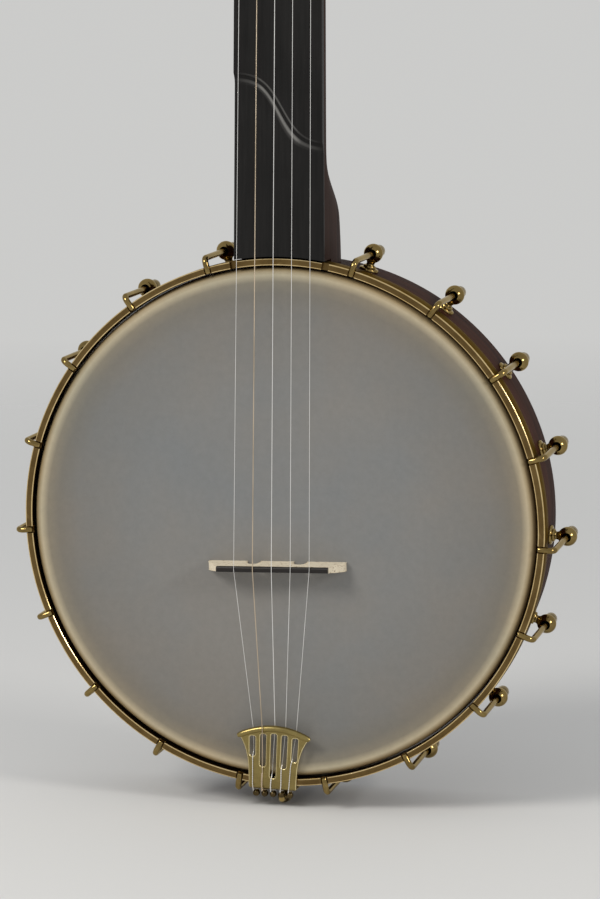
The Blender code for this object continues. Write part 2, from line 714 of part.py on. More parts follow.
def build_fingerboard():
    end = NUT_Z - NUT_THICK / 2 - SEAT
    step_start = FIFTH_PEG_Z - STEP_BELOW_PEG
    stations = [BOARD_END - 8.0 * MM, (BOARD_END + step_start) / 2, step_start]
    stations += [step_start + STEP_LENGTH * k / 5 for k in range(1, 6)] + [end]
    sections = []
    for z in stations:
        left, right, y = left_edge(z), right_edge(z), board_y(z)
        back = y + BOARD_THICK
        sections.append([Vector(p) for p in ((left, y, z), (right, y, z), (right, back, z), (left, back, z))])
    shape = bmesh.new()
    loft(shape, sections)
    board = from_bmesh("fingerboard", shape, black_board(), 20)
    combine(board, [scoop_cutter(), heel_cutter()], "DIFFERENCE")
    weld(board)
    return board


def build_overlay():
    shape = bmesh.new()
    prism(shape, head_outline(4 * SEAT), -OVERLAY, 0.0, head_frame())
    overlay = from_bmesh("peghead_overlay", shape, black_board(), 20)
    combine(overlay, [peg_holes(2 * OVERLAY, 2 * OVERLAY)], "DIFFERENCE")
    return overlay


def build_nut():
    """Bone block across the neck, its back on the wood, its crest just clear of the board."""
    shape = bmesh.new()
    z, half = NUT_Z, NUT_THICK / 2
    back, crest = board_y(z) + BOARD_THICK, string_y_at_nut() + SEAT * 1.5
    left, right = left_edge(z), right_edge(z)
    outline = ((z - half, back), (z + half, back), (z + half, crest + 1.2 * MM), (z, crest + 0.1 * MM),
               (z - half, crest))
    loft(shape, [[Vector((x, y, h)) for h, y in outline] for x in (left, right)])
    return from_bmesh("nut", shape, bone(), 0)


def build_fifth_nut():
    """Small bone pip that starts the fifth string."""
    x, z = string_x(5, PIP_Z), PIP_Z
    base = board_y(z)
    crest = string_y(5, z) + STRING_DIAMETERS[4] / 2 + SEAT
    r = PIP_DIAMETER / 2
    high = base - crest
    profile = [(0.0, SEAT), (r, SEAT), (r, high - 0.3 * MM), (r * 0.5, high), (0.0, high)]
    return turned("fifth_string_nut", profile, 10, bone(), along((x, base, z), (0, -1, 0)))


# Pegs

def housing_profile():
    """Front nut and bush, flange and round gear case, bored from both ends."""
    bore, stem = POST_RADIUS + RUN, STEM_RADIUS + RUN
    back = head_back() - SEAT
    end = back - HOUSING_LENGTH
    flange, drum, nut = HOUSING_RADIUS, HOUSING_RADIUS * 0.92, FRONT_NUT_RADIUS
    return [(0.0, -POST_IN - RUN), (bore, -POST_IN - RUN), (bore, FRONT_NUT_THICK),
            (nut * 0.8, FRONT_NUT_THICK), (nut, SEAT + FRONT_NUT_THICK * 0.5),
            (nut, SEAT), (BUSH_RADIUS, SEAT), (BUSH_RADIUS, back),
            (flange, back), (flange, back - 2.2 * MM), (drum, back - 3.0 * MM),
            (drum, end + 2.0 * MM), (drum * 0.76, end), (stem, end),
            (stem, end + CASE_SOCKET), (0.0, end + CASE_SOCKET)]


def post_profile():
    top = POST_ABOVE
    return [(0.0, -POST_IN), (POST_RADIUS, -POST_IN), (POST_RADIUS, 5.5 * MM), (POST_WAIST, 6.8 * MM),
            (POST_WAIST, top - 4.0 * MM), (POST_RADIUS, top - 2.6 * MM), (POST_RADIUS, top - 0.8 * MM),
            (POST_RADIUS * 0.7, top), (0.0, top)]


def build_button(name, start, gap, place):
    """The oval is a turned bulb squeezed flat, joined to the stem that the case drives."""
    rows = 6
    bulb = [(0.0, 0.0)]
    for k in range(rows):
        t = k / (rows - 1)
        width = 0.30 + 0.70 * math.sin(math.pi * (0.12 + 0.78 * t)) ** 0.7
        bulb.append((0.5 * width, t))
    bulb.append((0.0, 1.0))
    squeeze = Matrix.Translation((0, 0, gap)) @ Matrix.Diagonal((BUTTON_WIDE, BUTTON_THICK, BUTTON_LONG, 1.0))
    surface = material("button ivory", (0.74, 0.66, 0.50), 0.35)
    piece = turned(name, bulb, PEG_SIDES, surface, place @ squeeze, smooth=60)
    stem = turned("stem", rod(STEM_RADIUS, start, gap + BUTTON_LONG * 0.4), 8, surface, place)
    combine(piece, [stem], "UNION")
    weld(piece)
    return piece


def set_origin(thing, point):
    thing.data.transform(Matrix.Translation(-Vector(point)))
    thing.location = point


def build_tuners():
    frame = head_frame()
    end = head_back() - SEAT - HOUSING_LENGTH
    for number, (x, y) in peg_places().items():
        place = frame @ Matrix.Translation((x, y, 0))
        turned("tuner_%d_housing" % number, housing_profile(), PEG_SIDES, aged_brass(), place)
        post = turned("tuner_%d_post" % number, post_profile(), 10, aged_brass(), place)
        set_origin(post, place.translation)
        back = place @ Matrix.Translation((0, 0, end)) @ Matrix.Rotation(math.pi, 4, "X")
        button = build_button("tuner_%d_button" % number, RUN - CASE_SOCKET, STEM_GAP, back)
        set_origin(button, back.translation)


def build_fifth_peg():
    """Friction peg in the side of the neck: bush, post with the string on it, and thumb piece."""
    place = fifth_peg_frame()
    bush, journal, face = FIFTH_BUSH_RADIUS, FIFTH_JOURNAL, FIFTH_BUSH_FACE
    bore, socket = journal + RUN, -FIFTH_BUSH_DEPTH + FIFTH_SOCKET_LEFT
    turned("fifth_peg_bushing", [(0.0, -FIFTH_BUSH_DEPTH), (bush, -FIFTH_BUSH_DEPTH), (bush, SEAT),
                                 (bush + 1.4 * MM, SEAT), (bush + 1.0 * MM, face), (bore, face),
                                 (bore, socket), (0.0, socket)], 12, aged_brass(), place)
    start = face + RUN
    end = start + FIFTH_POST
    cup, stem = end + 2.0 * MM, STEM_RADIUS + RUN
    post = turned("fifth_peg_post", [(0.0, socket + RUN), (journal, socket + RUN), (journal, start),
                                     (POST_RADIUS, start), (POST_RADIUS, start + 0.8 * MM),
                                     (POST_WAIST, start + 1.8 * MM), (POST_WAIST, end - 1.8 * MM),
                                     (POST_RADIUS, end - 0.8 * MM), (POST_RADIUS * 1.7, end),
                                     (POST_RADIUS * 1.7, cup), (stem, cup), (stem, cup - CUP_DEPTH),
                                     (0.0, cup - CUP_DEPTH)],
                  10, aged_brass(), place)
    set_origin(post, place.translation)
    foot = place @ Matrix.Translation((0, 0, cup))
    button = build_button("fifth_peg_button", RUN - CUP_DEPTH, STEM_GAP * 0.4, foot)
    set_origin(button, foot.translation)


# Dowel stick and its fastenings

def build_dowel():
    inner = RIM_RADIUS - RIM_WALL
    ends = ((RIM_RADIUS + DOWEL_TENON, DOWEL_WIDE, DOWEL_DEEP), (inner - 10.0 * MM, DOWEL_WIDE, DOWEL_DEEP),
            (-rim_inside(DOWEL_TAIL_WIDE / 2) + SEAT, DOWEL_TAIL_WIDE, DOWEL_TAIL_DEEP))
    corner = 3.0 * MM
    sections = []
    for z, wide, deep in ends:
        w, d = wide / 2, deep / 2
        c = corner
        outline = ((-w + c, -d), (w - c, -d), (w, -d + c), (w, d - c), (w - c, d), (-w + c, d), (-w, d - c),
                   (-w, -d + c))
        sections.append([Vector((x, DOWEL_Y + y, z)) for x, y in outline])
    shape = bmesh.new()
    loft(shape, sections)
    dowel = from_bmesh("dowel_stick", shape, maple(), 30)
    way = turned("bolt socket", rod(BOLT_RADIUS + SEAT, -RIM_RADIUS, -inner + BOLT_IN_DOWEL + SEAT), 12,
                 maple(), Matrix.Translation((0, DOWEL_Y, 0)))
    return combine(dowel, [way], "DIFFERENCE")


def build_brace():
    """Flat collar round the dowel stick, tight against the inside of the rim."""
    shape = bmesh.new()
    half_x, half_y = DOWEL_WIDE / 2 + BRACE_MARGIN, DOWEL_DEEP / 2 + BRACE_MARGIN * 0.5
    sag = rim_inside(half_x)
    prism(shape, rectangle(half_x, half_y), sag - SEAT - BRACE_THICK, sag - SEAT,
          Matrix.Translation((0, DOWEL_Y, 0)))
    brace = from_bmesh("neck_brace", shape, aged_brass(), 0)
    hole = bmesh.new()
    prism(hole, rectangle(DOWEL_WIDE / 2 + SEAT, DOWEL_DEEP / 2 + SEAT), 0.0, RIM_RADIUS,
          Matrix.Translation((0, DOWEL_Y, 0)))
    return combine(brace, [from_bmesh("brace hole", hole, aged_brass())], "DIFFERENCE")


def rim_inside(x):
    """Height of the rim's inner face above the centre, at this distance to the side."""
    inner = (RIM_RADIUS - RIM_WALL) * math.cos(math.pi / RING_SIDES)
    return math.sqrt(inner * inner - x * x)


def eye_outside():
    """Outer face of the hanger's eye, which lies flat on the rim's tail end."""
    return -(RIM_OUTSIDE + SEAT + HANGER_EYE_THICK)


def build_end_bolt():
    low = eye_outside() - SEAT
    r, h = BOLT_HEAD_RADIUS, BOLT_HEAD_HEIGHT
    inner = RIM_RADIUS - RIM_WALL
    end = -inner + BOLT_IN_DOWEL
    profile = [(0.0, end), (BOLT_RADIUS, end), (BOLT_RADIUS, low), (r, low), (r, low - h * 0.3),
               (r * 0.9, low - h * 0.62), (r * 0.6, low - h * 0.88), (0.0, low - h)]
    return turned("end_bolt", profile, 14, aged_brass(), Matrix.Translation((0, DOWEL_Y, 0)))


# Tailpiece

def tail_turn():
    """The tailpiece hangs a touch off square, about the middle of its foot."""
    turn = Matrix.Rotation(-TAIL_TILT, 4, "Y")
    return Matrix.Translation((TAIL_X, 0, TAIL_FOOT_Z)) @ turn @ Matrix.Translation((0, 0, -TAIL_FOOT_Z))


def thicken(line, thickness):
    """Closed outline of a sheet whose middle follows the points."""
    sides = ([], [])
    for k, p in enumerate(line):
        before = (p - line[k - 1]).normalized() if k else (line[1] - p).normalized()
        after = (line[k + 1] - p).normalized() if k + 1 < len(line) else before
        middle = (before + after).normalized()
        reach = thickness / 2 / max(0.5, middle.dot(before))
        normal = Vector((-middle.y, middle.x))
        sides[0].append(p + normal * reach)
        sides[1].append(p - normal * reach)
    return sides[0] + list(reversed(sides[1]))


def tail_line():
    """Middle of the sheet in (y, z): lip, sloping face, turn round the hoop, shelf and hanger tab."""
    half = TAIL_SHEET / 2
    face = HOOP_FRONT - SEAT - half
    top = TAIL_TOP_Z + TAIL_BULGE + TAIL_LIP
    foot = TAIL_FOOT_Z
    tab, bend = HANGER_TAB_Y, 1.2 * MM
    points = ((TAIL_LIP_Y, top), (face, foot + 1.6 * MM), (face + 0.9 * MM, foot + 0.1 * MM),
              (face + 2.4 * MM, foot - half), (tab - bend, foot - half), (tab, foot - half - bend),
              (tab, HANGER_Z - HANGER_NUT / 2))
    return [Vector(p) for p in points]


def face_y(z):
    """Middle of the sheet's sloping face at this height."""
    top, foot = tail_line()[0], tail_line()[1]
    return blend(top.x, foot.x, (z - top.y) / (foot.y - top.y))


def fan_outline():
    """Front outline of the tailpiece: fan-shaped face, narrow shelf and hanger tab."""
    w, f = TAIL_TOP_WIDTH / 2, TAIL_FOOT_WIDTH / 2
    foot = TAIL_FOOT_Z - TAIL_SHEET
    top = [(w * s, edge_z(w * s)) for s in (1.0, 0.75, 0.5, 0.25, 0.0)]
    side = [(blend(w, f, share), TAIL_TOP_Z - TAIL_LENGTH * along) for along, share in FAN_SWEEP]
    side += [(f, foot + TAIL_SHEET), (f - TAIL_SHEET, foot)]
    half, low = HANGER_TAB_WIDTH / 2, HANGER_Z - HANGER_NUT
    tab = [(HANGER_ASIDE + half, foot - FAN_FLOOR), (HANGER_ASIDE + half, low),
           (HANGER_ASIDE - half, low), (HANGER_ASIDE - half, foot - FAN_FLOOR)]
    right = top[::-1] + side
    left = [(-x, z) for x, z in reversed(right[1:])]
    return right + tab + left


def slot_cutter():
    """Five slots that fan out with the strings, each ending round at its own height."""
    shape = bmesh.new()
    r = TAIL_SLOT / 2
    for string in range(1, 6):
        high_x = place_across(string) * SLOT_GAP_AT_TOP
        end = slot_end(string)
        x_end = slot_x(string, end)
        z_top = edge_z(high_x) - SLOT_BELOW_EDGE
        arc = [(x_end - r * math.cos(math.pi * j / 4), end + r - r * math.sin(math.pi * j / 4))
               for j in range(5)]
        prism(shape, arc + [(high_x + r, z_top), (high_x - r, z_top)], -TAIL_REACH, TAIL_REACH, facing())
    return from_bmesh("slots", shape, aged_brass())


def edge_z(x):
    """Height of the fan's bulging top edge at this distance to the side."""
    return TAIL_TOP_Z + TAIL_BULGE * (1 - (2 * x / TAIL_TOP_WIDTH) ** 2)


def slot_end(string):
    """Each slot's lower end, at its own height above the foot."""
    return TAIL_FOOT_Z + TAIL_SLOT_ENDS[place_across(string) + 2]


def slot_x(string, z):
    """Middle of a slot at this height."""
    gap = blend(SLOT_GAP_AT_FOOT, SLOT_GAP_AT_TOP, (z - TAIL_FOOT_Z) / TAIL_LENGTH)
    return place_across(string) * gap


def facing():
    """Local X stays across, local Y becomes up, local Z becomes the player's side."""
    return Matrix(((1, 0, 0, 0), (0, 0, -1, 0), (0, 1, 0, 0), (0, 0, 0, 1)))


def lip_tube():
    """Rolled lip along the curved top edge."""
    steps = 8
    points = [lip_point(TAIL_TOP_WIDTH * (k / steps - 0.5)) for k in range(steps + 1)]
    return tube("lip", points, TAIL_LIP / 2, aged_brass(), 1)


def lip_point(x):
    """Centre of the rolled lip at this distance to the side."""
    z = edge_z(x) - TAIL_LIP / 2
    return Vector((x, face_y(z) - TAIL_LIP * 0.25, z))


def place_across(string):
    """Places from the middle string, the fifth string on the bass side and the first on the treble."""
    return {5: -2, 4: -1, 3: 0, 2: 1, 1: 2}[string]


def pin_x(string):
    return place_across(string) * PIN_GAP


def pin_profile():
    ball = PIN_BALL / 2
    neck = PIN_NECK / 2
    start = math.asin(neck / ball)
    profile = [(0.0, -TAIL_SHEET * 0.6), (neck, -TAIL_SHEET * 0.6)]
    rows = 4
    for k in range(rows):
        a = start + (math.pi - start) * k / rows
        profile.append((ball * math.sin(a), PIN_STAND - ball * math.cos(a)))
    profile.append((0.0, PIN_STAND + ball))
    return profile


def build_tailpiece():
    sheet = bmesh.new()
    outline = [(p.x, p.y) for p in thicken(tail_line(), TAIL_SHEET)]
    half = TAIL_TOP_WIDTH
    loft(sheet, [[Vector((x, y, z)) for y, z in outline] for x in (-half, half)])
    plate = from_bmesh("tailpiece", sheet, aged_brass(), 30)
    fan = bmesh.new()
    prism(fan, fan_outline(), -TAIL_REACH, TAIL_REACH, facing())
    combine(plate, [from_bmesh("fan", fan, aged_brass())], "INTERSECT")
    hole = turned("hanger hole", rod(HANGER_ROD / 2 + SEAT, HANGER_TAB_Y - 4 * TAIL_SHEET,
                                     HANGER_TAB_Y + 4 * TAIL_SHEET), 12, aged_brass(),
                  Matrix.Translation((HANGER_ASIDE, 0, HANGER_Z)) @ y_axis())
    combine(plate, [slot_cutter(), hole], "DIFFERENCE")
    pins = bmesh.new()
    for string in range(1, 6):
        shelf = (pin_x(string), PIN_Y, TAIL_FOOT_Z - TAIL_SHEET)
        revolve(pins, pin_profile(), 8, place=along(shelf, (0, 0, -1)))
    combine(plate, [lip_tube(), from_bmesh("pins", pins, aged_brass())], "UNION")
    weld(plate)
    plate.data.transform(tail_turn())
    plate.data.shade_smooth()
    plate.data.set_sharp_from_angle(angle=math.radians(30))
    return plate


def hanger_place():
    """Where the hanger's rod passes the tab, after the tailpiece's own small turn."""
    return tail_turn() @ Vector((HANGER_ASIDE, HANGER_TAB_Y, HANGER_Z))


def build_hanger():
    """Rod from the tailpiece's tab back to an eye that the end bolt clamps on the rim."""
    tab = hanger_place()
    eye_z = eye_outside() + HANGER_EYE_THICK / 2
    eye_edge = DOWEL_Y - HANGER_EYE / 2 + 1.5 * MM
    knee = DOWEL_Y - BOLT_HEAD_RADIUS - HANGER_ROD
    path = [Vector((tab.x, tab.y - HANGER_NUT - 2.5 * MM, tab.z)), Vector((tab.x, tab.y + 3.0 * MM, tab.z)),
            Vector((tab.x * 0.8, tab.y + 6.0 * MM, tab.z + 1.6 * MM)),
            Vector((tab.x * 0.25, knee, eye_z - HANGER_ROD * 0.15)), Vector((0.0, eye_edge, eye_z))]
    rod_piece = tube("tailpiece_bolt", path, HANGER_ROD / 2, aged_brass(), 1, (1, 1, 1, 0.6, 0.4))
    outer, inner = HANGER_EYE / 2, BOLT_RADIUS + SEAT
    low, high = eye_outside(), eye_outside() + HANGER_EYE_THICK
    ring = turned("eye", [(inner, low), (outer, low), (outer, high), (inner, high)], 16, aged_brass(),
                  Matrix.Translation((0, DOWEL_Y, 0)), closed=True)
    combine(rod_piece, [ring], "UNION")
    weld(rod_piece)
    return rod_piece


def build_hanger_nut():
    tab = hanger_place()
    r, bore = HANGER_NUT / 2, HANGER_ROD / 2 + SEAT
    start = TAIL_SHEET / 2 + SEAT
    profile = [(bore, start), (r * 0.8, start), (r, start + r * 0.5), (r, start + r * 1.1),
               (r * 0.75, start + r * 1.7), (bore, start + r * 1.9)]
    return turned("tailpiece_nut", profile, 12, aged_brass(), along(tab, (0, -1, 0)), closed=True)


# Bridge

def bridge_frame():
    turn = Matrix.Rotation(-BRIDGE_SLANT, 4, "Y")
    return Matrix.Translation((BRIDGE_X, 0.0, BRIDGE_Z)) @ turn


def bridge_outline():
    """Front view in (x, height): three feet, two arches and sloping shoulders."""
    base, top = BRIDGE_LENGTH / 2, BRIDGE_TOP_LENGTH / 2
    wood = BRIDGE_HEIGHT - CAP_HEIGHT - SEAT
    foot, arch = BRIDGE_MIDDLE_FOOT / 2, BRIDGE_ARCH
    low = SEAT
    centre, r = foot + arch / 2, arch / 2
    rise = BRIDGE_ARCH_HEIGHT - r
    turns = [math.pi * k / 6 for k in range(7)]
    curve = [(centre - r * math.cos(a), low + rise + r * math.sin(a)) for a in turns]
    right = [(foot, low)] + curve + [(foot + arch, low), (base, low), (base, low + 3.0 * MM),
                                     (base - 1.2 * MM, low + 5.5 * MM), (top + 1.6 * MM, wood - 1.6 * MM),
                                     (top, wood)]
    return right + [(-x, y) for x, y in reversed(right)]


def build_bridge():
    """Thick at the feet and thin at the top, so each side leans in by the height of every point."""
    shape = bmesh.new()
    half = BRIDGE_BASE_THICK / 2
    outline = bridge_outline()
    sections = []
    for side in (-1.0, 1.0):
        points = []
        for x, h in outline:
            lean = blend(half, BRIDGE_TOP_THICK / 2, (h - SEAT) / (BRIDGE_HEIGHT - SEAT))
            points.append(Vector((x, -h, side * lean)))
        sections.append(points)
    loft(shape, sections)
    bmesh.ops.transform(shape, matrix=bridge_frame(), verts=shape.verts)
    return from_bmesh("bridge", shape, maple(), 30)


def build_bridge_cap():
    shape = bmesh.new()
    half_x, low, high = BRIDGE_TOP_LENGTH / 2, BRIDGE_HEIGHT - CAP_HEIGHT, BRIDGE_HEIGHT
    half = BRIDGE_TOP_THICK / 2
    profile = ((-half, low), (half, low), (half, high - 0.7 * MM), (half - 0.7 * MM, high),
               (-half + 0.7 * MM, high), (-half, high - 0.7 * MM))
    loft(shape, [[Vector((x, -h, z)) for z, h in profile] for x in (-half_x, half_x)])
    bmesh.ops.transform(shape, matrix=bridge_frame(), verts=shape.verts)
    return from_bmesh("bridge_cap", shape, black_board(), 0)


# Strings

def string_y_at_nut():
    return board_y(NUT_Z) - STRING_ACTION_AT_NUT


def rest_height(string):
    """How far a string's middle lies in front of what it rests on."""
    return STRING_DIAMETERS[string - 1] / 2 + SEAT


def bridge_point(string):
    return bridge_frame() @ Vector((place_across(string) * STRING_GAP_AT_BRIDGE,
                                    -BRIDGE_HEIGHT - rest_height(string), 0.0))


def nut_point(string):
    """Four strings cross the nut; the fifth keeps its side of the board and stops at the pip."""
    middle = (NUT_LEFT + NUT_RIGHT) / 2
    x = middle + (place_across(string) - 0.5) * STRING_GAP_AT_NUT
    return Vector((x, string_y_at_nut(), NUT_Z))


def string_x(string, z):
    low, high = bridge_point(string), nut_point(string)
    return blend(low.x, high.x, (z - low.z) / (high.z - low.z))


def string_y(string, z):
    low, high = bridge_point(string), nut_point(string)
    return blend(low.y, high.y, (z - low.z) / (high.z - low.z))


def winding(start, centre, axis, radius, turns, pitch, sense):
    """Tangent from the start to the post, then turns round it, running along the axis."""
    axis = Vector(axis).normalized()
    arm = start - centre
    arm -= axis * arm.dot(axis)
    away = arm.normalized()
    side = axis.cross(away)
    reach = math.acos(min(1.0, radius / arm.length))
    count = turns * TURN_POINTS
    points = []
    for k in range(count + 1):
        a = sense * (reach + 2 * math.pi * k / TURN_POINTS)
        spot = centre + (away * math.cos(a) + side * math.sin(a)) * radius
        points.append(spot + axis * (pitch * k / TURN_POINTS))
    return points


def head_end(string):
    """From the nut to the post and round it, or from the pip to the fifth peg's post."""
    gauge = STRING_DIAMETERS[string - 1] / 2
    radius = POST_WAIST + SEAT + gauge
    if string < 5:
        x, y = peg_places()[string]
        frame = head_frame()
        height = POST_ABOVE - 4.6 * MM
        centre = frame @ Vector((x, y, height))
        down = -(frame.to_3x3() @ Vector((0, 0, 1)))
        leave = nut_point(string) + Vector((0, 0, NUT_THICK / 2))
        sense = 1 if x < 0 else -1
        return [nut_point(string)] + winding(leave, centre, down, radius, STRING_TURNS, TURN_PITCH, sense)
    frame = fifth_peg_frame()
    centre = frame @ Vector((0, 0, FIFTH_BUSH_FACE + RUN + 2 * TURN_PITCH))
    out = frame.to_3x3() @ Vector((0, 0, 1))
    start, leave = (Vector((string_x(5, z), string_y(5, z), z))
                    for z in (PIP_Z, PIP_Z + PIP_DIAMETER / 2 + SEAT))
    z = blend(leave.z, centre.z, 0.55)
    edge, front = left_edge(z), board_y(z)
    over = Vector((edge + 0.1 * MM, front - 2 * SEAT, z))
    beside = Vector((edge - 0.7 * MM, front + 0.1 * MM, z + 0.8 * MM))
    return [start, leave, over, beside] + winding(beside, centre, out, radius, STRING_TURNS, TURN_PITCH, -1)


def tail_end(string):
    """From the bridge to the lip, along the face or through the slot, and round the pin's neck."""
    gauge = STRING_DIAMETERS[string - 1] / 2
    off = TAIL_SHEET / 2 + SEAT + gauge
    lip_off = TAIL_LIP / 2 + SEAT + gauge
    x_pin = pin_x(string)
    x_foot = place_across(string) * STRING_GAP_AT_FOOT
    lip = lip_point(place_across(string) * STRING_GAP_AT_LIP)
    end = slot_end(string)
    shelf = TAIL_FOOT_Z - TAIL_SHEET
    if string == 4:
        middle_end = slot_end(3)
        upper = [lip + Vector((0, -lip_off, 0)), Vector((x_foot, face_y(middle_end) - off, middle_end))]
    else:
        x_in = slot_x(string, end)
        upper = [lip + Vector((0, lip_off, 0)),
                 Vector((x_in, face_y(end) + off, end + TAIL_SLOT * 1.1)),
                 Vector((x_in, face_y(end) - off, end + TAIL_SLOT * 0.1)),
                 Vector((blend(x_in, x_foot, 0.4), face_y(end) - off, end - TAIL_SLOT * 0.7))]
    corner = tail_line()[1]
    lower = [Vector((x_foot, corner.x - off - SEAT / 3, corner.y)),
             Vector((blend(x_foot, x_pin, 0.5), corner.x - off + SEAT, shelf - 3 * SEAT))]
    ring = PIN_NECK / 2 + SEAT + gauge
    steps = 9
    level = shelf - 2 * SEAT - gauge
    turns = [-math.pi * 0.79 + 2 * math.pi * STRING_LOOP * k / steps for k in range(steps + 1)]
    loop = [Vector((x_pin + ring * math.cos(a), PIN_Y + ring * math.sin(a), level)) for a in turns]
    turn = tail_turn()
    return [turn @ p for p in upper + lower + loop]


def least_gap(points, radius, skip):
    """Closest approach of a tube to itself, beyond its neighbouring points."""
    best = 1.0
    for i in range(len(points)):
        for j in range(i + skip, len(points)):
            best = min(best, (points[i] - points[j]).length)
    return best - 2 * radius


def build_strings():
    for string in range(1, 6):
        radius = STRING_DIAMETERS[string - 1] / 2
        head = head_end(string)
        path = list(reversed(head)) + [bridge_point(string)] + tail_end(string)
        surface = bronze_wire() if string == 4 else bright_wire()
        tube("string_%d" % string, path, radius, surface, 0)
        gap = least_gap(head[1:], radius, TURN_POINTS - 1)
        print("string %d: least gap between turns %.2f mm" % (string, gap / MM))


def stand_up():
    """Bottom centre of the whole to the origin, each piece keeping its own origin."""
    bpy.context.view_layer.update()
    corners = [thing.matrix_world @ Vector(corner) for thing in bpy.data.objects for corner in thing.bound_box]
    front, back = min(p.y for p in corners), max(p.y for p in corners)
    shift = Vector((0.0, -(front + back) / 2, -min(p.z for p in corners)))
    for thing in bpy.data.objects:
        thing.location += shift
    print("moved by %.4f %.4f %.4f mm" % tuple(value / MM for value in shift))


def build():
    start_clean()
    build_rim()
    build_tone_ring()
    build_head()
    build_flesh_hoop()
    build_tension_hoop()
    build_brackets()
    build_neck()
    build_fingerboard()
    build_overlay()
    build_nut()
    build_fifth_nut()
    build_tuners()
    build_fifth_peg()
    build_dowel()
    build_brace()
    build_end_bolt()
    build_tailpiece()
    build_hanger()
    build_hanger_nut()
    build_bridge()
    build_bridge_cap()
    build_strings()
    stand_up()


build()
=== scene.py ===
import math

import bmesh
import bpy
from mathutils import Matrix, Vector


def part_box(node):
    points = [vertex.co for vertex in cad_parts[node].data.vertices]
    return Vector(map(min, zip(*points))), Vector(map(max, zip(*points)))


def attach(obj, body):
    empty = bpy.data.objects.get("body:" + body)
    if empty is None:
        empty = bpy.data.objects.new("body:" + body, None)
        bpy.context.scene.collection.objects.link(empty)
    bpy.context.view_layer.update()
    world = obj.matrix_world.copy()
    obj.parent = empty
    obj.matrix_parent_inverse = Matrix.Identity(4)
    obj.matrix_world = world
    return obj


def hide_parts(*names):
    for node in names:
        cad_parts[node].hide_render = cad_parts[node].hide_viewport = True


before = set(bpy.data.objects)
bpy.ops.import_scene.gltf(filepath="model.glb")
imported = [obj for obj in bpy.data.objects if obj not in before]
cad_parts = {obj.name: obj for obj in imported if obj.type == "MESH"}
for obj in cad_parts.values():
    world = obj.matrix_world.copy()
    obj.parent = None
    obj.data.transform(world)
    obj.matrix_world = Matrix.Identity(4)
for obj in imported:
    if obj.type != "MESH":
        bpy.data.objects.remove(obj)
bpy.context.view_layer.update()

# RIM
# A hoop of laminated walnut, twelve inches across, bent, glued and turned true, then stained and
# lacquered. It is turned down in front of a low shoulder, where the head's collar hangs over it. The
# tone ring lies on its front edge, and the bracket shoes are screwed to it from inside.

# Shapes are drawn in millimetres from the middle of the head's face: x to the treble side, y to the
# player, z up the neck. settle() puts them in their place in metres.
MM = 0.001
SEAT = 0.3
RIM_RADIUS, RIM_OUTSIDE, RIM_WALL = 152.4, 153.6, 12.7
RIM_FRONT, RIM_SHOULDER, RIM_BACK, RIM_ROUND = 7.45, 16.5, 69.5, 2.2
RIM_PLIES, GLUE_LINE, GLUE_DARK = 4, 0.012, 0.3
RING_STEPS, PLANE_CORNERS = 240, 12
head_low, head_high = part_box("head_skin")
POT = Vector(((head_low.x + head_high.x) / 2, head_low.y, (head_low.z + head_high.z) / 2))


def place(tree, kind, inputs=(), **settings):
    """Adds a node: inputs pairs a socket with a value or with another node's socket."""
    made = tree.nodes.new(kind)
    for key, value in settings.items():
        setattr(made, key, value)
    for socket, value in inputs:
        if isinstance(value, bpy.types.NodeSocket):
            tree.links.new(value, made.inputs[socket])
        else:
            made.inputs[socket].default_value = value
    return made


def effect(name, inputs, outputs):
    """An empty effect with named sockets, its way in and its way out."""
    group = bpy.data.node_groups.new(name, "ShaderNodeTree")
    for label, kind, value in inputs:
        socket = group.interface.new_socket(label, in_out="INPUT", socket_type=kind)
        if value is not None:
            socket.default_value = value
    for label, kind in outputs:
        group.interface.new_socket(label, in_out="OUTPUT", socket_type=kind)
    return group, group.nodes.new("NodeGroupInput"), group.nodes.new("NodeGroupOutput")


def ramp(tree, factor, stops):
    """A colour ramp through (position, grey or colour) stops."""
    made = place(tree, "ShaderNodeValToRGB", [(0, factor)])
    points = made.color_ramp.elements
    while len(points) < len(stops):
        points.new(0.5)
    for point, (where, value) in zip(points, stops):
        point.position = where
        point.color = (*value, 1.0) if isinstance(value, tuple) else (value, value, value, 1.0)
    return made.outputs[0]


def mix(tree, factor, first, second, blend="MIX"):
    return place(tree, "ShaderNodeMix", [(0, factor), (6, first), (7, second)],
                 data_type="RGBA", blend_type=blend).outputs[2]


def sums(tree, operation, first, second=0.0):
    return place(tree, "ShaderNodeMath", [(0, first), (1, second)], operation=operation).outputs[0]


def noise(tree, vector, scale, detail=3.0, rough=0.5):
    return place(tree, "ShaderNodeTexNoise", [(0, vector), (2, scale), (3, detail), (4, rough)]).outputs[0]


def stretched(tree, vector, scale, turn=(0.0, 0.0, 0.0)):
    return place(tree, "ShaderNodeMapping", [(0, vector), (2, turn), (3, scale)]).outputs[0]


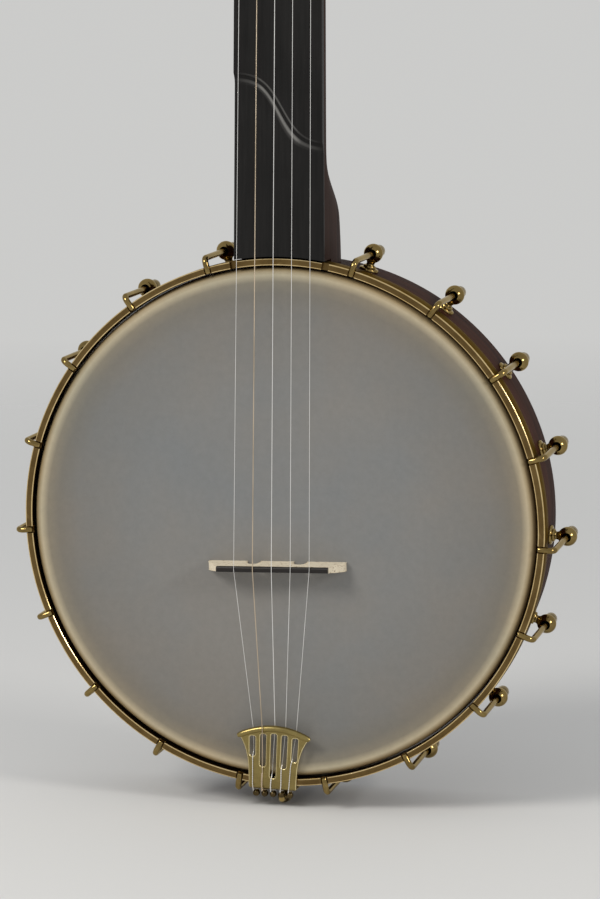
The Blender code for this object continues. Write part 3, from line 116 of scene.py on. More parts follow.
def wood_grain():
    """Growth bands, long fibres and open pores that run along the Z axis."""
    group, way_in, way_out = effect(
        "wood grain",
        [("Vector", "NodeSocketVector", None), ("Early wood", "NodeSocketColor", (0.2, 0.1, 0.05, 1)),
         ("Late wood", "NodeSocketColor", (0.1, 0.05, 0.02, 1)), ("Pores", "NodeSocketColor", (0, 0, 0, 1)),
         ("Band scale", "NodeSocketFloat", 60.0), ("Pore depth", "NodeSocketFloat", 0.5)],
        [("Color", "NodeSocketColor"), ("Height", "NodeSocketFloat"), ("Shine", "NodeSocketFloat")])
    seat = way_in.outputs
    long = stretched(group, seat["Vector"], (1.0, 1.0, 0.05))
    fibres = stretched(group, seat["Vector"], (1.0, 1.0, 0.02))
    bands = place(group, "ShaderNodeTexNoise", [(0, long), (2, seat["Band scale"]), (3, 4.0), (4, 0.6),
                                                (8, 1.2)]).outputs[0]
    fine = noise(group, fibres, 1500.0, 3.0, 0.7)
    pores = noise(group, fibres, 780.0, 2.0)
    tone = mix(group, ramp(group, bands, [(0.36, 0.0), (0.64, 1.0)]), seat["Early wood"], seat["Late wood"])
    haired = mix(group, 1.0, tone, ramp(group, fine, [(0.3, 0.72), (0.7, 1.0)]), "MULTIPLY")
    depth = sums(group, "MULTIPLY", ramp(group, pores, [(0.60, 0.0), (0.70, 1.0)]), seat["Pore depth"])
    group.links.new(mix(group, depth, haired, seat["Pores"]), way_out.inputs["Color"])
    height = sums(group, "SUBTRACT", sums(group, "MULTIPLY", fine, 0.25), depth)
    group.links.new(height, way_out.inputs["Height"])
    group.links.new(sums(group, "MULTIPLY", depth, 0.25), way_out.inputs["Shine"])
    return group


WOOD_GRAIN = wood_grain()


def new_finish(name):
    made = bpy.data.materials.new(name)
    made.use_nodes = True
    return made, made.node_tree, made.node_tree.nodes["Principled BSDF"]


def bump(tree, shader, height, distance, strength=1.0):
    made = place(tree, "ShaderNodeBump", [("Height", height), ("Distance", distance), ("Strength", strength)])
    tree.links.new(made.outputs[0], shader.inputs["Normal"])


def grained(name, early, late, pores, roughness, bands, pore_depth, turn=(0.0, 0.0, 0.0), coat=0.0,
            by_uv=False, plies=0, shine=0.35):
    """A finished timber: its grain, a little relief, its lacquer and the glue lines between its plies."""
    made, tree, shader = new_finish(name)
    where = place(tree, "ShaderNodeTexCoord").outputs
    turned = stretched(tree, where["UV"] if by_uv else where["Object"], (1.0, 1.0, 1.0), turn)
    grain = place(tree, "ShaderNodeGroup", node_tree=WOOD_GRAIN)
    tree.links.new(turned, grain.inputs["Vector"])
    for label, value in (("Early wood", early), ("Late wood", late), ("Pores", pores)):
        grain.inputs[label].default_value = (*value, 1.0)
    grain.inputs["Band scale"].default_value = bands
    grain.inputs["Pore depth"].default_value = pore_depth
    colour = grain.outputs["Color"]
    if plies:
        flat = place(tree, "ShaderNodeMapping", [(0, where["Object"]), (1, (-POT.x, 0.0, -POT.z)),
                                                 (3, (1.0, 0.0, 1.0))]).outputs[0]
        radius = place(tree, "ShaderNodeVectorMath", [(0, flat)], operation="LENGTH").outputs["Value"]
        depth = sums(tree, "SUBTRACT", radius, (RIM_OUTSIDE - RIM_WALL) * MM)
        across = sums(tree, "DIVIDE", depth, RIM_WALL * MM)
        stops = [(k / plies + aside, 1.0 if aside else GLUE_DARK)
                 for k in range(1, plies) for aside in (-GLUE_LINE, 0.0, GLUE_LINE)]
        line = ramp(tree, across, stops)
        colour = mix(tree, 1.0, colour, line, "MULTIPLY")
    tree.links.new(colour, shader.inputs["Base Color"])
    tree.links.new(sums(tree, "ADD", grain.outputs["Shine"], roughness), shader.inputs["Roughness"])
    shader.inputs["Specular IOR Level"].default_value = shine
    shader.inputs["Coat Weight"].default_value = coat
    shader.inputs["Coat Roughness"].default_value = 0.2
    bump(tree, shader, grain.outputs["Height"], 0.08 * MM)
    return made


rim_walnut = grained("rim walnut", (0.062, 0.021, 0.011), (0.029, 0.0095, 0.0055), (0.008, 0.004, 0.003),
                     0.55, bands=90.0, pore_depth=0.6, turn=(0.0, math.pi / 2, 0.0), by_uv=True,
                     plies=RIM_PLIES, shine=0.03)


def round_pot():
    """What is spun about its own Z axis lies round the pot's axis, its height towards the player."""
    return Matrix.Rotation(math.radians(-90), 4, "X")


def spin(shape, profile, steps, turn=None, closed=False, mark=0):
    """Spins a line of (radius, height) points all the way round and puts the result in place."""
    verts = [shape.verts.new((r, 0.0, h)) for r, h in profile]
    pairs = list(zip(verts, verts[1:])) + ([(verts[-1], verts[0])] if closed else [])
    edges = [shape.edges.new(pair) for pair in pairs]
    old_verts, old_faces = set(shape.verts) - set(verts), set(shape.faces)
    bmesh.ops.spin(shape, geom=verts + edges, cent=(0, 0, 0), axis=(0, 0, 1), dvec=(0, 0, 0),
                   angle=2 * math.pi, steps=steps, use_merge=True)
    fresh = [v for v in shape.verts if v not in old_verts]
    bmesh.ops.remove_doubles(shape, verts=fresh, dist=1e-4)
    fresh = [v for v in shape.verts if v not in old_verts]
    if turn is not None:
        bmesh.ops.transform(shape, matrix=turn, verts=fresh)
    for face in shape.faces:
        if face not in old_faces:
            face.material_index = mark


def rounded(points, radius, closed=True, steps=4):
    """Rounds the corners of a line of points by the radius, or by what the sides allow."""
    done = []
    count = len(points)
    for k, point in enumerate(points):
        here = Vector(point)
        if not closed and k in (0, count - 1):
            done.append(here)
            continue
        before, after = Vector(points[k - 1]), Vector(points[(k + 1) % count])
        reach = min(radius, (before - here).length * 0.45, (after - here).length * 0.45)
        start = here + (before - here).normalized() * reach
        end = here + (after - here).normalized() * reach
        for j in range(steps + 1):
            t = j / steps
            done.append(start * (1 - t) ** 2 + here * 2 * t * (1 - t) + end * t * t)
    return done


def settle(name, shape, finishes, body="banjo", stands_for=(), smooth=35.0):
    """Makes the shape a finished piece in its place, riding on its body."""
    bmesh.ops.remove_doubles(shape, verts=shape.verts, dist=2e-4)
    bmesh.ops.recalc_face_normals(shape, faces=shape.faces)
    bmesh.ops.scale(shape, vec=(MM, MM, MM), verts=shape.verts)
    bmesh.ops.translate(shape, verts=shape.verts, vec=POT)
    mesh = bpy.data.meshes.new(name)
    shape.to_mesh(mesh)
    shape.free()
    for finish in finishes:
        mesh.materials.append(finish)
    mesh.shade_smooth()
    for face in mesh.polygons:
        face.use_smooth = len(face.vertices) <= PLANE_CORNERS
    mesh.set_sharp_from_angle(angle=math.radians(smooth))
    piece = bpy.data.objects.new(name, mesh)
    bpy.context.scene.collection.objects.link(piece)
    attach(piece, body)
    if stands_for:
        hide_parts(*stands_for)
    return piece


def unroll(piece):
    """Lays the grain round a ring: one way is round it, the other is across its outside and back."""
    mesh = piece.data
    layer = mesh.uv_layers.new(name="round")
    for face in mesh.polygons:
        middle = face.center - POT
        home = math.atan2(middle.x, middle.z)
        for corner in face.loop_indices:
            spot = mesh.vertices[mesh.loops[corner].vertex_index].co - POT
            angle = math.atan2(spot.x, spot.z)
            angle += 2 * math.pi * round((home - angle) / (2 * math.pi))
            across = spot.y + math.hypot(spot.x, spot.z) * 0.6
            layer.data[corner].uv = (angle * RIM_RADIUS * MM, across)


rim_inside = RIM_RADIUS - RIM_WALL
rim_shape = bmesh.new()
spin(rim_shape, rounded([(rim_inside, RIM_FRONT), (RIM_RADIUS, RIM_FRONT), (RIM_RADIUS, RIM_SHOULDER),
                         (RIM_OUTSIDE, RIM_SHOULDER), (RIM_OUTSIDE, RIM_BACK), (rim_inside, RIM_BACK)],
                        RIM_ROUND), RING_STEPS, round_pot(), closed=True)
unroll(settle("rim_hoop", rim_shape, [rim_walnut], stands_for=("rim",)))

# TONE RING
# A plain brass rod bent to a ring and brazed, lying on the rim's front edge under the head. Only its
# inner side shows, from the open back.

TONE_RADIUS, TONE_Y, TONE_ROD = 149.225, 3.975, 3.175


def old_brass():
    """Rubbed antique brass: gold edges (wear and painted highlight), brown flats, black corners (patina and
    painted shade).
    """
    group, way_in, way_out = effect(
        "old brass",
        [("Vector", "NodeSocketVector", None), ("Gold", "NodeSocketColor", (0.5, 0.36, 0.14, 1)),
         ("Brown", "NodeSocketColor", (0.25, 0.17, 0.07, 1)),
         ("Black", "NodeSocketColor", (0.03, 0.02, 0.01, 1)),
         ("Rubbed", "NodeSocketFloat", 0.5), ("Dulled", "NodeSocketFloat", 0.3)],
        [("Color", "NodeSocketColor"), ("Roughness", "NodeSocketFloat"), ("Height", "NodeSocketFloat")])
    seat = way_in.outputs
    cloud = noise(group, seat["Vector"], 75.0, 5.0, 0.62)
    speck = noise(group, seat["Vector"], 950.0, 4.0, 0.7)
    scratch = noise(group, stretched(group, seat["Vector"], (1.0, 0.06, 1.0), (0.5, 0.3, 0.8)), 2600.0, 2.0)
    bend = place(group, "ShaderNodeNewGeometry").outputs["Pointiness"]
    # Gold on convex edges: partly wear, partly a painted highlight.
    edge = ramp(group, bend, [(0.56, 0.0), (0.66, 1.0)])
    # Black in concave corners: partly patina, partly painted shade.
    corner = ramp(group, bend, [(0.43, 1.0), (0.495, 0.0)])
    rubbed = sums(group, "MULTIPLY", ramp(group, cloud, [(0.35, 0.0), (0.68, 1.0)]), seat["Rubbed"])
    gold = sums(group, "MINIMUM", sums(group, "ADD", rubbed, edge), 1.0)
    tone = mix(group, gold, seat["Brown"], seat["Gold"])
    specks_and_corner_shade = sums(group, "MAXIMUM", ramp(group, speck, [(0.58, 0.0), (0.74, 0.5)]), corner)
    group.links.new(mix(group, specks_and_corner_shade, tone, seat["Black"]), way_out.inputs["Color"])
    fine = sums(group, "ADD", seat["Dulled"], sums(group, "MULTIPLY", scratch, 0.10))
    rough = sums(group, "ADD", fine, sums(group, "MULTIPLY", specks_and_corner_shade, 0.22))
    group.links.new(rough, way_out.inputs["Roughness"])
    group.links.new(sums(group, "ADD", speck, scratch), way_out.inputs["Height"])
    return group


OLD_BRASS = old_brass()


def brassed(name, gold, brown, black, rubbed, dulled, edge=(1.0, 0.9, 0.7)):
    """A brass fitting's finish, from its three colours and how far it is rubbed and dulled."""
    made, tree, shader = new_finish(name)
    where = place(tree, "ShaderNodeTexCoord").outputs["Object"]
    metal = place(tree, "ShaderNodeGroup", node_tree=OLD_BRASS)
    tree.links.new(where, metal.inputs["Vector"])
    for label, value in (("Gold", gold), ("Brown", brown), ("Black", black)):
        metal.inputs[label].default_value = (*value, 1.0)
    metal.inputs["Rubbed"].default_value = rubbed
    metal.inputs["Dulled"].default_value = dulled
    tree.links.new(metal.outputs["Color"], shader.inputs["Base Color"])
    tree.links.new(metal.outputs["Roughness"], shader.inputs["Roughness"])
    shader.inputs["Metallic"].default_value = 1.0
    shader.inputs["Specular Tint"].default_value = (*edge, 1.0)
    bump(tree, shader, metal.outputs["Height"], 0.010 * MM)
    return made


fitting_brass = brassed("fitting brass", (0.64, 0.48, 0.19), (0.200, 0.138, 0.050), (0.008, 0.006, 0.004),
                        0.25, 0.09)
tone_shape = bmesh.new()
circle = [(TONE_RADIUS + TONE_ROD * math.cos(a), TONE_Y + TONE_ROD * math.sin(a))
          for a in (2 * math.pi * k / 20 for k in range(20))]
spin(tone_shape, circle, RING_STEPS, round_pot(), closed=True)
settle("tone_ring_rod", tone_shape, [fitting_brass], stands_for=("tone_ring",))

# HEAD
# A frosted film stretched over the tone ring: flat, grey and slightly translucent, warmer towards the crown,
# where it bends over the ring, its colour carrying a painted highlight, painted reflection and painted shade,
# and runs down to its aluminium flesh hoop.

SKIN = 0.5
CROWN = TONE_ROD + SEAT + SKIN
COLLAR_RADIUS = TONE_RADIUS + CROWN
COLLAR_END, FLESH_FRONT, FLESH_WIDE, FLESH_DEEP = 15.0, 12.3, 3.4, 3.2


def film():
    """Frosted film: cool grey in the middle, warmer towards the crown, a painted highlight over the ring,
    then a painted golden reflection and painted shade at the edge.
    """
    made, tree, shader = new_finish("frosted film")
    where = place(tree, "ShaderNodeTexCoord").outputs["Object"]
    centred = place(tree, "ShaderNodeMapping", [(0, where), (1, tuple(-POT))]).outputs[0]
    flat = stretched(tree, centred, (1.0, 0.0, 1.0))
    radius = place(tree, "ShaderNodeVectorMath", [(0, flat)], operation="LENGTH").outputs["Value"]
    # From 0.945 out the colour paints light: a pale band for the highlight over the ring, a golden painted
    # reflection of the hoop, then painted shade where the film turns down.
    rings = ramp(tree, sums(tree, "DIVIDE", radius, COLLAR_RADIUS * MM),
                 [(0.0, (0.205, 0.208, 0.206)), (0.55, (0.196, 0.197, 0.192)), (0.82, (0.178, 0.174, 0.163)),
                  (0.90, (0.172, 0.160, 0.136)), (0.945, (0.215, 0.190, 0.142)),
                  (0.972, (0.440, 0.380, 0.260)), (0.988, (0.270, 0.205, 0.105)),
                  (1.0, (0.130, 0.090, 0.042))])
    cloud = noise(tree, centred, 9.0, 4.0, 0.55)
    mottle = noise(tree, centred, 220.0, 5.0, 0.75)
    frost = noise(tree, centred, 2400.0, 2.0, 0.6)
    warm = ramp(tree, cloud, [(0.36, (0.92, 0.95, 0.98)), (0.64, (1.07, 1.01, 0.95))])
    tone = mix(tree, 1.0, rings, warm, "MULTIPLY")
    tone = mix(tree, 1.0, tone, ramp(tree, mottle, [(0.25, 0.92), (0.75, 1.07)]), "MULTIPLY")
    tree.links.new(tone, shader.inputs["Base Color"])
    rough = sums(tree, "ADD", sums(tree, "MULTIPLY", mottle, 0.16), 0.50)
    tree.links.new(rough, shader.inputs["Roughness"])
    bump(tree, shader, sums(tree, "ADD", frost, mottle), 0.03 * MM, 0.7)
    return made


head_film = film()
quarter = [math.pi / 2 * k / 10 for k in range(11)]
over = [(TONE_RADIUS + CROWN * math.sin(a), TONE_Y - CROWN * math.cos(a)) for a in quarter]
under = [(TONE_RADIUS + (CROWN - SKIN) * math.sin(a), TONE_Y - (CROWN - SKIN) * math.cos(a)) for a in quarter]
reach = [RIM_RADIUS * share for share in (0.0, 0.25, 0.5, 0.72, 0.88, 0.95)]
head_shape = bmesh.new()
spin(head_shape, [(r, 0.0) for r in reach] + over + [(COLLAR_RADIUS, COLLAR_END),
     (COLLAR_RADIUS - SKIN, COLLAR_END)] + under[::-1] + [(r, SKIN) for r in reach[::-1]],
     RING_STEPS, round_pot())
settle("head_film", head_shape, [head_film], stands_for=("head_skin",), smooth=50)


def plain_metal(name, colour, roughness):
    """A plain drawn or turned metal, lightly dulled."""
    made, tree, shader = new_finish(name)
    dull = noise(tree, place(tree, "ShaderNodeTexCoord").outputs["Object"], 420.0, 4.0)
    shade = ramp(tree, dull, [(0.3, tuple(c * 0.8 for c in colour)), (0.7, colour)])
    tree.links.new(shade, shader.inputs["Base Color"])
    rough = sums(tree, "ADD", sums(tree, "MULTIPLY", dull, 0.12), roughness)
    tree.links.new(rough, shader.inputs["Roughness"])
    shader.inputs["Metallic"].default_value = 1.0
    bump(tree, shader, dull, 0.01 * MM)
    return made


dull_aluminium = plain_metal("flesh hoop aluminium", (0.55, 0.55, 0.56), 0.32)
flesh = COLLAR_RADIUS + SEAT
flesh_shape = bmesh.new()
spin(flesh_shape, rounded([(flesh, FLESH_FRONT), (flesh + FLESH_WIDE, FLESH_FRONT),
                           (flesh + FLESH_WIDE, FLESH_FRONT + FLESH_DEEP), (flesh, FLESH_FRONT + FLESH_DEEP)],
                          0.6), RING_STEPS, round_pot(), closed=True)
settle("flesh_hoop_channel", flesh_shape, [dull_aluminium], stands_for=("flesh_hoop",))

# TENSION HOOP
# A flat brass bar rolled to a ring, its front edge notched for every hook and once more on each side
# of the neck. It pulls the flesh hoop down when the bracket nuts are tightened.

HOOP_INNER, HOOP_OUTER, HOOP_FRONT, HOOP_BACK = 154.5, 158.7, -1.0, 12.0
NOTCH_DEPTH, HOOK_WIRE, SIDE_HOOKS, HOOP_EASED = 2.6, 3.66, 9, 0.6
hoop_brass = brassed("hoop brass", (0.30, 0.20, 0.075), (0.125, 0.078, 0.028), (0.022, 0.014, 0.008),
                     0.35, 0.24)
# Bright gold for the hoop's eased edges: rubbed wear, with a painted highlight in its brightness.
edge_highlight_brass = brassed("rubbed brass with painted highlight", (0.86, 0.68, 0.38), (0.66, 0.48, 0.22), (0.20, 0.14, 0.07), 0.9, 0.12)
band_brass = brassed("satin band brass", (0.26, 0.19, 0.09), (0.15, 0.105, 0.05), (0.05, 0.035, 0.02),
                     0.5, 0.30, edge=(0.42, 0.34, 0.22))
FIRST_HOOK, EMPTY_NOTCH = math.radians(16.1), math.radians(10.2)
hook_step = (2 * math.pi - 2 * FIRST_HOOK) / (2 * SIDE_HOOKS - 1)
side_angles = [FIRST_HOOK + k * hook_step for k in range(SIDE_HOOKS)]
hook_angles = [-a for a in side_angles] + side_angles[::-1]


def cut(shape, tools, operation="DIFFERENCE"):
    """Cuts the shape with a second shape, or joins the two, and gives back the result."""
    holders = []
    for made in (shape, tools):
        bmesh.ops.recalc_face_normals(made, faces=made.faces)
        mesh = bpy.data.meshes.new("cut step")
        made.to_mesh(mesh)
        made.free()
        holders.append(bpy.data.objects.new("cut step", mesh))
        bpy.context.scene.collection.objects.link(holders[-1])
    step = holders[0].modifiers.new("cut", "BOOLEAN")
    step.operation, step.solver, step.object = operation, "EXACT", holders[1]
    seen = holders[0].evaluated_get(bpy.context.evaluated_depsgraph_get())
    result = bmesh.new()
    result.from_mesh(seen.to_mesh())
    for holder in holders:
        mesh = holder.data
        bpy.data.objects.remove(holder, do_unlink=True)
        bpy.data.meshes.remove(mesh)
    return result


def block(shape, low, high, turn=None):
    """A plain block between two corners, for cutting."""
    made = bmesh.ops.create_cube(shape, size=1.0)["verts"]
    size, middle = Vector(high) - Vector(low), (Vector(high) + Vector(low)) / 2
    fit = Matrix.Translation(middle) @ Matrix.Diagonal((*size, 1.0))
    bmesh.ops.transform(shape, matrix=(turn @ fit) if turn is not None else fit, verts=made)


hoop_section = [(HOOP_INNER, HOOP_FRONT), (HOOP_OUTER, HOOP_FRONT), (HOOP_OUTER, HOOP_BACK),
                (HOOP_INNER, HOOP_BACK)]
hoop_shape = bmesh.new()
spin(hoop_shape, rounded(hoop_section, HOOP_EASED, steps=3), RING_STEPS, round_pot(), closed=True)
notches = bmesh.new()
notch_half = HOOK_WIRE / 2 + SEAT
for angle in hook_angles + [-EMPTY_NOTCH, EMPTY_NOTCH]:
    block(notches, (-notch_half, HOOP_FRONT - NOTCH_DEPTH, HOOP_INNER - 4),
          (notch_half, HOOP_FRONT + NOTCH_DEPTH, HOOP_OUTER + 4), Matrix.Rotation(angle, 4, "Y"))
hoop_shape = cut(hoop_shape, notches)
# The eased front and back corners take the edge brass, whose bright gold is a painted highlight; the outer
# side takes the band brass.
for face in hoop_shape.faces:
    middle = face.calc_center_median()
    across, along = math.hypot(middle.x, middle.z), middle.y
    aside = min(across - HOOP_INNER, HOOP_OUTER - across)
    if aside < HOOP_EASED and min(along - HOOP_FRONT, HOOP_BACK - along) < HOOP_EASED:
        face.material_index = 1
    elif HOOP_OUTER - across < HOOP_EASED / 4:
        face.material_index = 2
settle("tension_hoop_bar", hoop_shape, [hoop_brass, edge_highlight_brass, band_brass], stands_for=("tension_hoop",),
       smooth=28)

# BRACKETS
# Eighteen cast brass shoes, each a stepped foot, a waisted stem and a ball drilled for the hook. The
# round hook lies in its notch of the hoop, and a long nut behind the ball draws it back. A screw and
# washer hold each shoe from inside the rim.

HOOK_STAND, HOOK_BEND, HOOK_SHORT = 3.6, 3.6, 0.8
HOOK_RADIUS = HOOP_OUTER + HOOK_STAND + HOOK_WIRE / 2
SHOE_BACK, BALL = 49.0, 5.8
NUT_FRONT, NUT_BACK, THREAD_CORE, THREAD_PITCH, THREAD_END = 5.3, 17.2, 1.55, 0.66, 19.0
# A darker copy of the fitting brass for the hook nuts, the tailpiece's pins and the hanger nut: its dark
# brown is painted shade.
painted_shade_brass = brassed("brass with painted shade", (0.34, 0.25, 0.11), (0.062, 0.042, 0.019), (0.006, 0.004, 0.003),
                    0.25, 0.10)
screw_steel = plain_metal("screw steel", (0.42, 0.41, 0.39), 0.28)


def skin(shape, rings):
    """A skin over equal rings of points: the first ring is drawn, then pulled from place to place."""
    verts = [shape.verts.new(p) for p in rings[0]]
    edges = [shape.edges.new(pair) for pair in zip(verts, verts[1:] + verts[:1])]
    first = verts
    for ring in rings[1:]:
        made = bmesh.ops.extrude_edge_only(shape, edges=edges)["geom"]
        edges = [g for g in made if isinstance(g, bmesh.types.BMEdge)]
        fresh = {v for edge in edges for v in edge.verts}
        verts = [next(e.other_vert(v) for e in v.link_edges if e.other_vert(v) in fresh) for v in verts]
        for vert, point in zip(verts, ring):
            vert.co = point
    shape.faces.new(first)
    shape.faces.new(verts)


def pipe(shape, points, radius, sides, tapers=None):
    """Sweeps a round section along the points, each ring carried on from the one before."""
    points = [Vector(p) for p in points]
    ways = [(b - a).normalized() for a, b in zip(points, points[1:])]
    ways = [ways[0]] + [(a + b).normalized() for a, b in zip(ways, ways[1:])] + [ways[-1]]
    across = ways[0].orthogonal().normalized()
    rings = []
    for k, (point, way) in enumerate(zip(points, ways)):
        across = (across - way * across.dot(way)).normalized()
        side, size = way.cross(across), radius * (tapers[k] if tapers else 1.0)
        turns = [2 * math.pi * j / sides for j in range(sides)]
        rings.append([point + (across * math.cos(a) + side * math.sin(a)) * size for a in turns])
    skin(shape, rings)


def bracket():
    """One shoe, hook, nut and screw as they stand at the top of the pot."""
    shape = bmesh.new()
    foot = RIM_OUTSIDE + SEAT / 3
    upright = Matrix.Translation((0, SHOE_BACK, 0))
    steps = [(0.0, 0.0), (5.8, 0.0), (5.8, 0.75), (5.55, 1.2), (5.0, 1.45), (4.15, 1.5), (3.85, 1.62),
             (3.8, 2.5), (3.62, 2.85), (3.2, 3.02), (2.75, 3.1), (2.45, 3.5), (2.35, 4.1), (2.5, 4.8),
             (2.9, 5.4), (0.0, 6.2)]
    spin(shape, [(r, foot + h) for r, h in steps], 32, upright)
    lengthwise = Matrix.Translation((0, SHOE_BACK, HOOK_RADIUS)) @ round_pot()
    turns = [math.radians(a) for a in range(-60, 60, 8)]
    ball = [(0.0, -0.8), (2.15, -0.8), (2.15, -3.9), (2.9, -BALL * math.sin(math.radians(60)))]
    ball += [(BALL * math.cos(a), BALL * math.sin(a)) for a in turns[1:]]
    ball.append((0.0, BALL * math.sin(turns[-1])))
    spin(shape, ball, 32, lengthwise)
    washer = [(0.0, 4.6), (3.9, 4.6), (4.05, 4.75), (4.05, 5.15), (3.9, NUT_FRONT), (0.0, NUT_FRONT)]
    nut = [(0.0, NUT_FRONT), (3.7, NUT_FRONT), (3.9, 5.5), (3.9, 6.6), (3.6, 6.8), (3.4, 7.05), (3.6, 7.3),
           (3.7, 7.6), (3.75, 15.4), (3.5, 16.4), (2.9, 17.0), (2.2, NUT_BACK), (0.0, NUT_BACK)]
    spin(shape, washer, 24, lengthwise)
    # The nut takes the darker brass, whose dark brown is painted shade.
    spin(shape, nut, 24, lengthwise, mark=1)
    thread = [(0.0, 16.8)]
    for k in range(3):
        thread += [(THREAD_CORE, 16.9 + THREAD_PITCH * k), (HOOK_WIRE / 2, 17.23 + THREAD_PITCH * k)]
    thread += [(1.4, THREAD_END), (0.0, THREAD_END)]
    spin(shape, thread, 16, lengthwise, mark=2)
    level = HOOP_FRONT + NOTCH_DEPTH - SEAT - HOOK_WIRE / 2
    tip = HOOP_INNER + HOOK_SHORT
    path = [(tip, level + 0.3), (tip + 0.25, level + 0.1), (tip + 1.0, level),
            (HOOK_RADIUS - HOOK_BEND - 0.4, level)]
    for k in range(1, 10):
        a = math.pi / 2 * k / 9
        path.append((HOOK_RADIUS - HOOK_BEND * (1 - math.sin(a)), level + HOOK_BEND * (1 - math.cos(a))))
    path += [(HOOK_RADIUS, SHOE_BACK * 0.5), (HOOK_RADIUS, SHOE_BACK - BALL * 0.3)]
    tapers = [0.55, 0.88] + [1.0] * (len(path) - 2)
    pipe(shape, [(0.0, y, r) for r, y in path], HOOK_WIRE / 2, 20, tapers)
    screw = [(0.0, 0.1), (5.2, 0.1), (5.3, -0.1), (5.3, -0.9), (5.1, -1.1), (3.7, -1.1), (3.6, -2.4),
             (3.0, -3.2), (1.6, -3.6), (0.0, -3.7)]
    spin(shape, [(r, rim_inside + h) for r, h in screw], 24, upright, mark=2)
    return shape


for number, angle in enumerate(hook_angles):
    bracket_shape = bracket()
    bmesh.ops.rotate(bracket_shape, verts=bracket_shape.verts, cent=(0, 0, 0),
                     matrix=Matrix.Rotation(angle, 3, "Y"))
    settle("hook_and_shoe_%02d" % (number + 1), bracket_shape, [fitting_brass, painted_shade_brass, screw_steel],
           stands_for=("bracket_%02d" % (number + 1),), smooth=40)

# NECK
# One piece of dark walnut: a slim shaft, a heel that sweeps down in a double curve to the depth of the
# rim, and a peghead tilted back. Carved, sanded and oiled. The heel is cut to the pot's own outline and
# bears on the rim; the dowel stick is glued into it.

HEEL_HALF, NUT_RIGHT, NUT_LEFT, PIP_LEFT = 27.3, 24.0, -13.8, -25.4
BOARD_END, PIP_Z, STEP_START, STEP_LENGTH, NUT_Z = HOOP_OUTER + 1.0, 474.0, 482.0, 26.0, 641.0
NUT_MIDDLE, NUT_HALF = 5.1, 2.5
BOARD_Y, BOARD_SLOPE, BOARD_THICK = -9.5, 0.0283, 5.0
NECK_DEPTH, HEEL_LOW, HEEL_HIGH = 17.0, 179.7, 219.7
HEEL_SWEEP = [(153.0, 67.5), (162.0, 66.5), (175.0, 63.8), (183.0, 61.0), (190.0, 56.8), (196.0, 50.5),
              (202.0, 41.5), (208.0, 30.5), (214.0, 21.5), (221.0, 17.6), (230.0, 17.0)]
SHAFT_ROUND, HEEL_ROUND = 0.82, 0.26
HEAD_LENGTH, HEAD_BACK, HEAD_STEP, OVERLAY, HEAD_TILT = 164.0, -15.0, 1.0, 2.5, math.radians(13.0)
PEGS = {4: (-18.0, 46.0), 3: (-18.0, 100.0), 2: (18.0, 100.0), 1: (18.0, 46.0)}
BUSH, FIFTH_Z, FIFTH_BARREL, FIFTH_DEEP = 4.7, 480.0, 3.76, 12.0
DOWEL_Y, DOWEL_WIDE, DOWEL_DEEP, DOWEL_TOP = 40.0, 22.0, 27.0, 166.4
DOWEL_ROOM_X, DOWEL_ROOM_Y = DOWEL_WIDE / 2 + SEAT, DOWEL_DEEP / 2 + SEAT
neck_wood = grained("neck walnut", (0.036, 0.0140, 0.0080), (0.017, 0.0067, 0.0042), (0.005, 0.0025, 0.002),
                    0.52, bands=80.0, pore_depth=0.55, shine=0.03)


def blend(start, end, t):
    return start + (end - start) * t


def smooth_step(value):
    t = min(1.0, max(0.0, value))
    return t * t * (3.0 - 2.0 * t)


def board_y(z):
    """Front plane of the fingerboard, set back towards the nut."""
    return BOARD_Y + BOARD_SLOPE * z


def left_edge(z):
    """Bass side: wide below the fifth string's peg, then stepped in to four strings' width."""
    low = blend(-HEEL_HALF, PIP_LEFT, (z - BOARD_END) / (PIP_Z - BOARD_END))
    high = blend(NUT_LEFT, NUT_LEFT - HEEL_HALF + NUT_RIGHT, (NUT_Z - z) / (NUT_Z - BOARD_END))
    return blend(low, high, smooth_step((z - STEP_START) / STEP_LENGTH))


def right_edge(z):
    return blend(HEEL_HALF, NUT_RIGHT, (z - BOARD_END) / (NUT_Z - BOARD_END))


def neck_ring(z, depth, roundness, lift=0.0):
    """One section: flat front under the board, short straight sides, rounded back."""
    left, right = left_edge(z), right_edge(z)
    middle, half = (left + right) / 2, (right - left) / 2
    front, side, steps = board_y(z) + BOARD_THICK + SEAT + lift, min(3.0, depth * 0.2), 30
    points = [Vector((left, front, z)), Vector((right, front, z))]
    for k in range(steps + 1):
        a = math.pi * k / steps
        reach = math.copysign(abs(math.cos(a)) ** roundness, math.cos(a)) if 2 * k != steps else 0.0
        points.append(Vector((middle + half * reach, front + side + (depth - side) * math.sin(a) ** 0.85, z)))
    return points


def neck_rings():
    sweep = [(146.0, HEEL_SWEEP[0][1])] + HEEL_SWEEP
    stations = [(p.x, p.y) for p in rounded([(z, d, 0.0) for z, d in sweep], 9.0, closed=False, steps=3)]
    heights = [blend(HEEL_SWEEP[-1][0], STEP_START, t) for t in (0.2, 0.4, 0.6, 0.8)]
    heights += [STEP_START + STEP_LENGTH * k / 12 for k in range(13)]
    heights += [blend(STEP_START + STEP_LENGTH, NUT_Z, t) for t in (0.25, 0.5, 0.75, 1.0)]
    rings = []
    for z, depth in stations + [(z, NECK_DEPTH) for z in heights]:
        heel = smooth_step((HEEL_HIGH - z) / (HEEL_HIGH - HEEL_LOW))
        rings.append(neck_ring(z, depth, blend(SHAFT_ROUND, HEEL_ROUND, heel)))
    for past, share in ((8.0, 0.9), (18.0, 0.62)):
        rings.append(neck_ring(NUT_Z + past, NECK_DEPTH * share, SHAFT_ROUND, past * math.tan(HEAD_TILT)))
    return rings


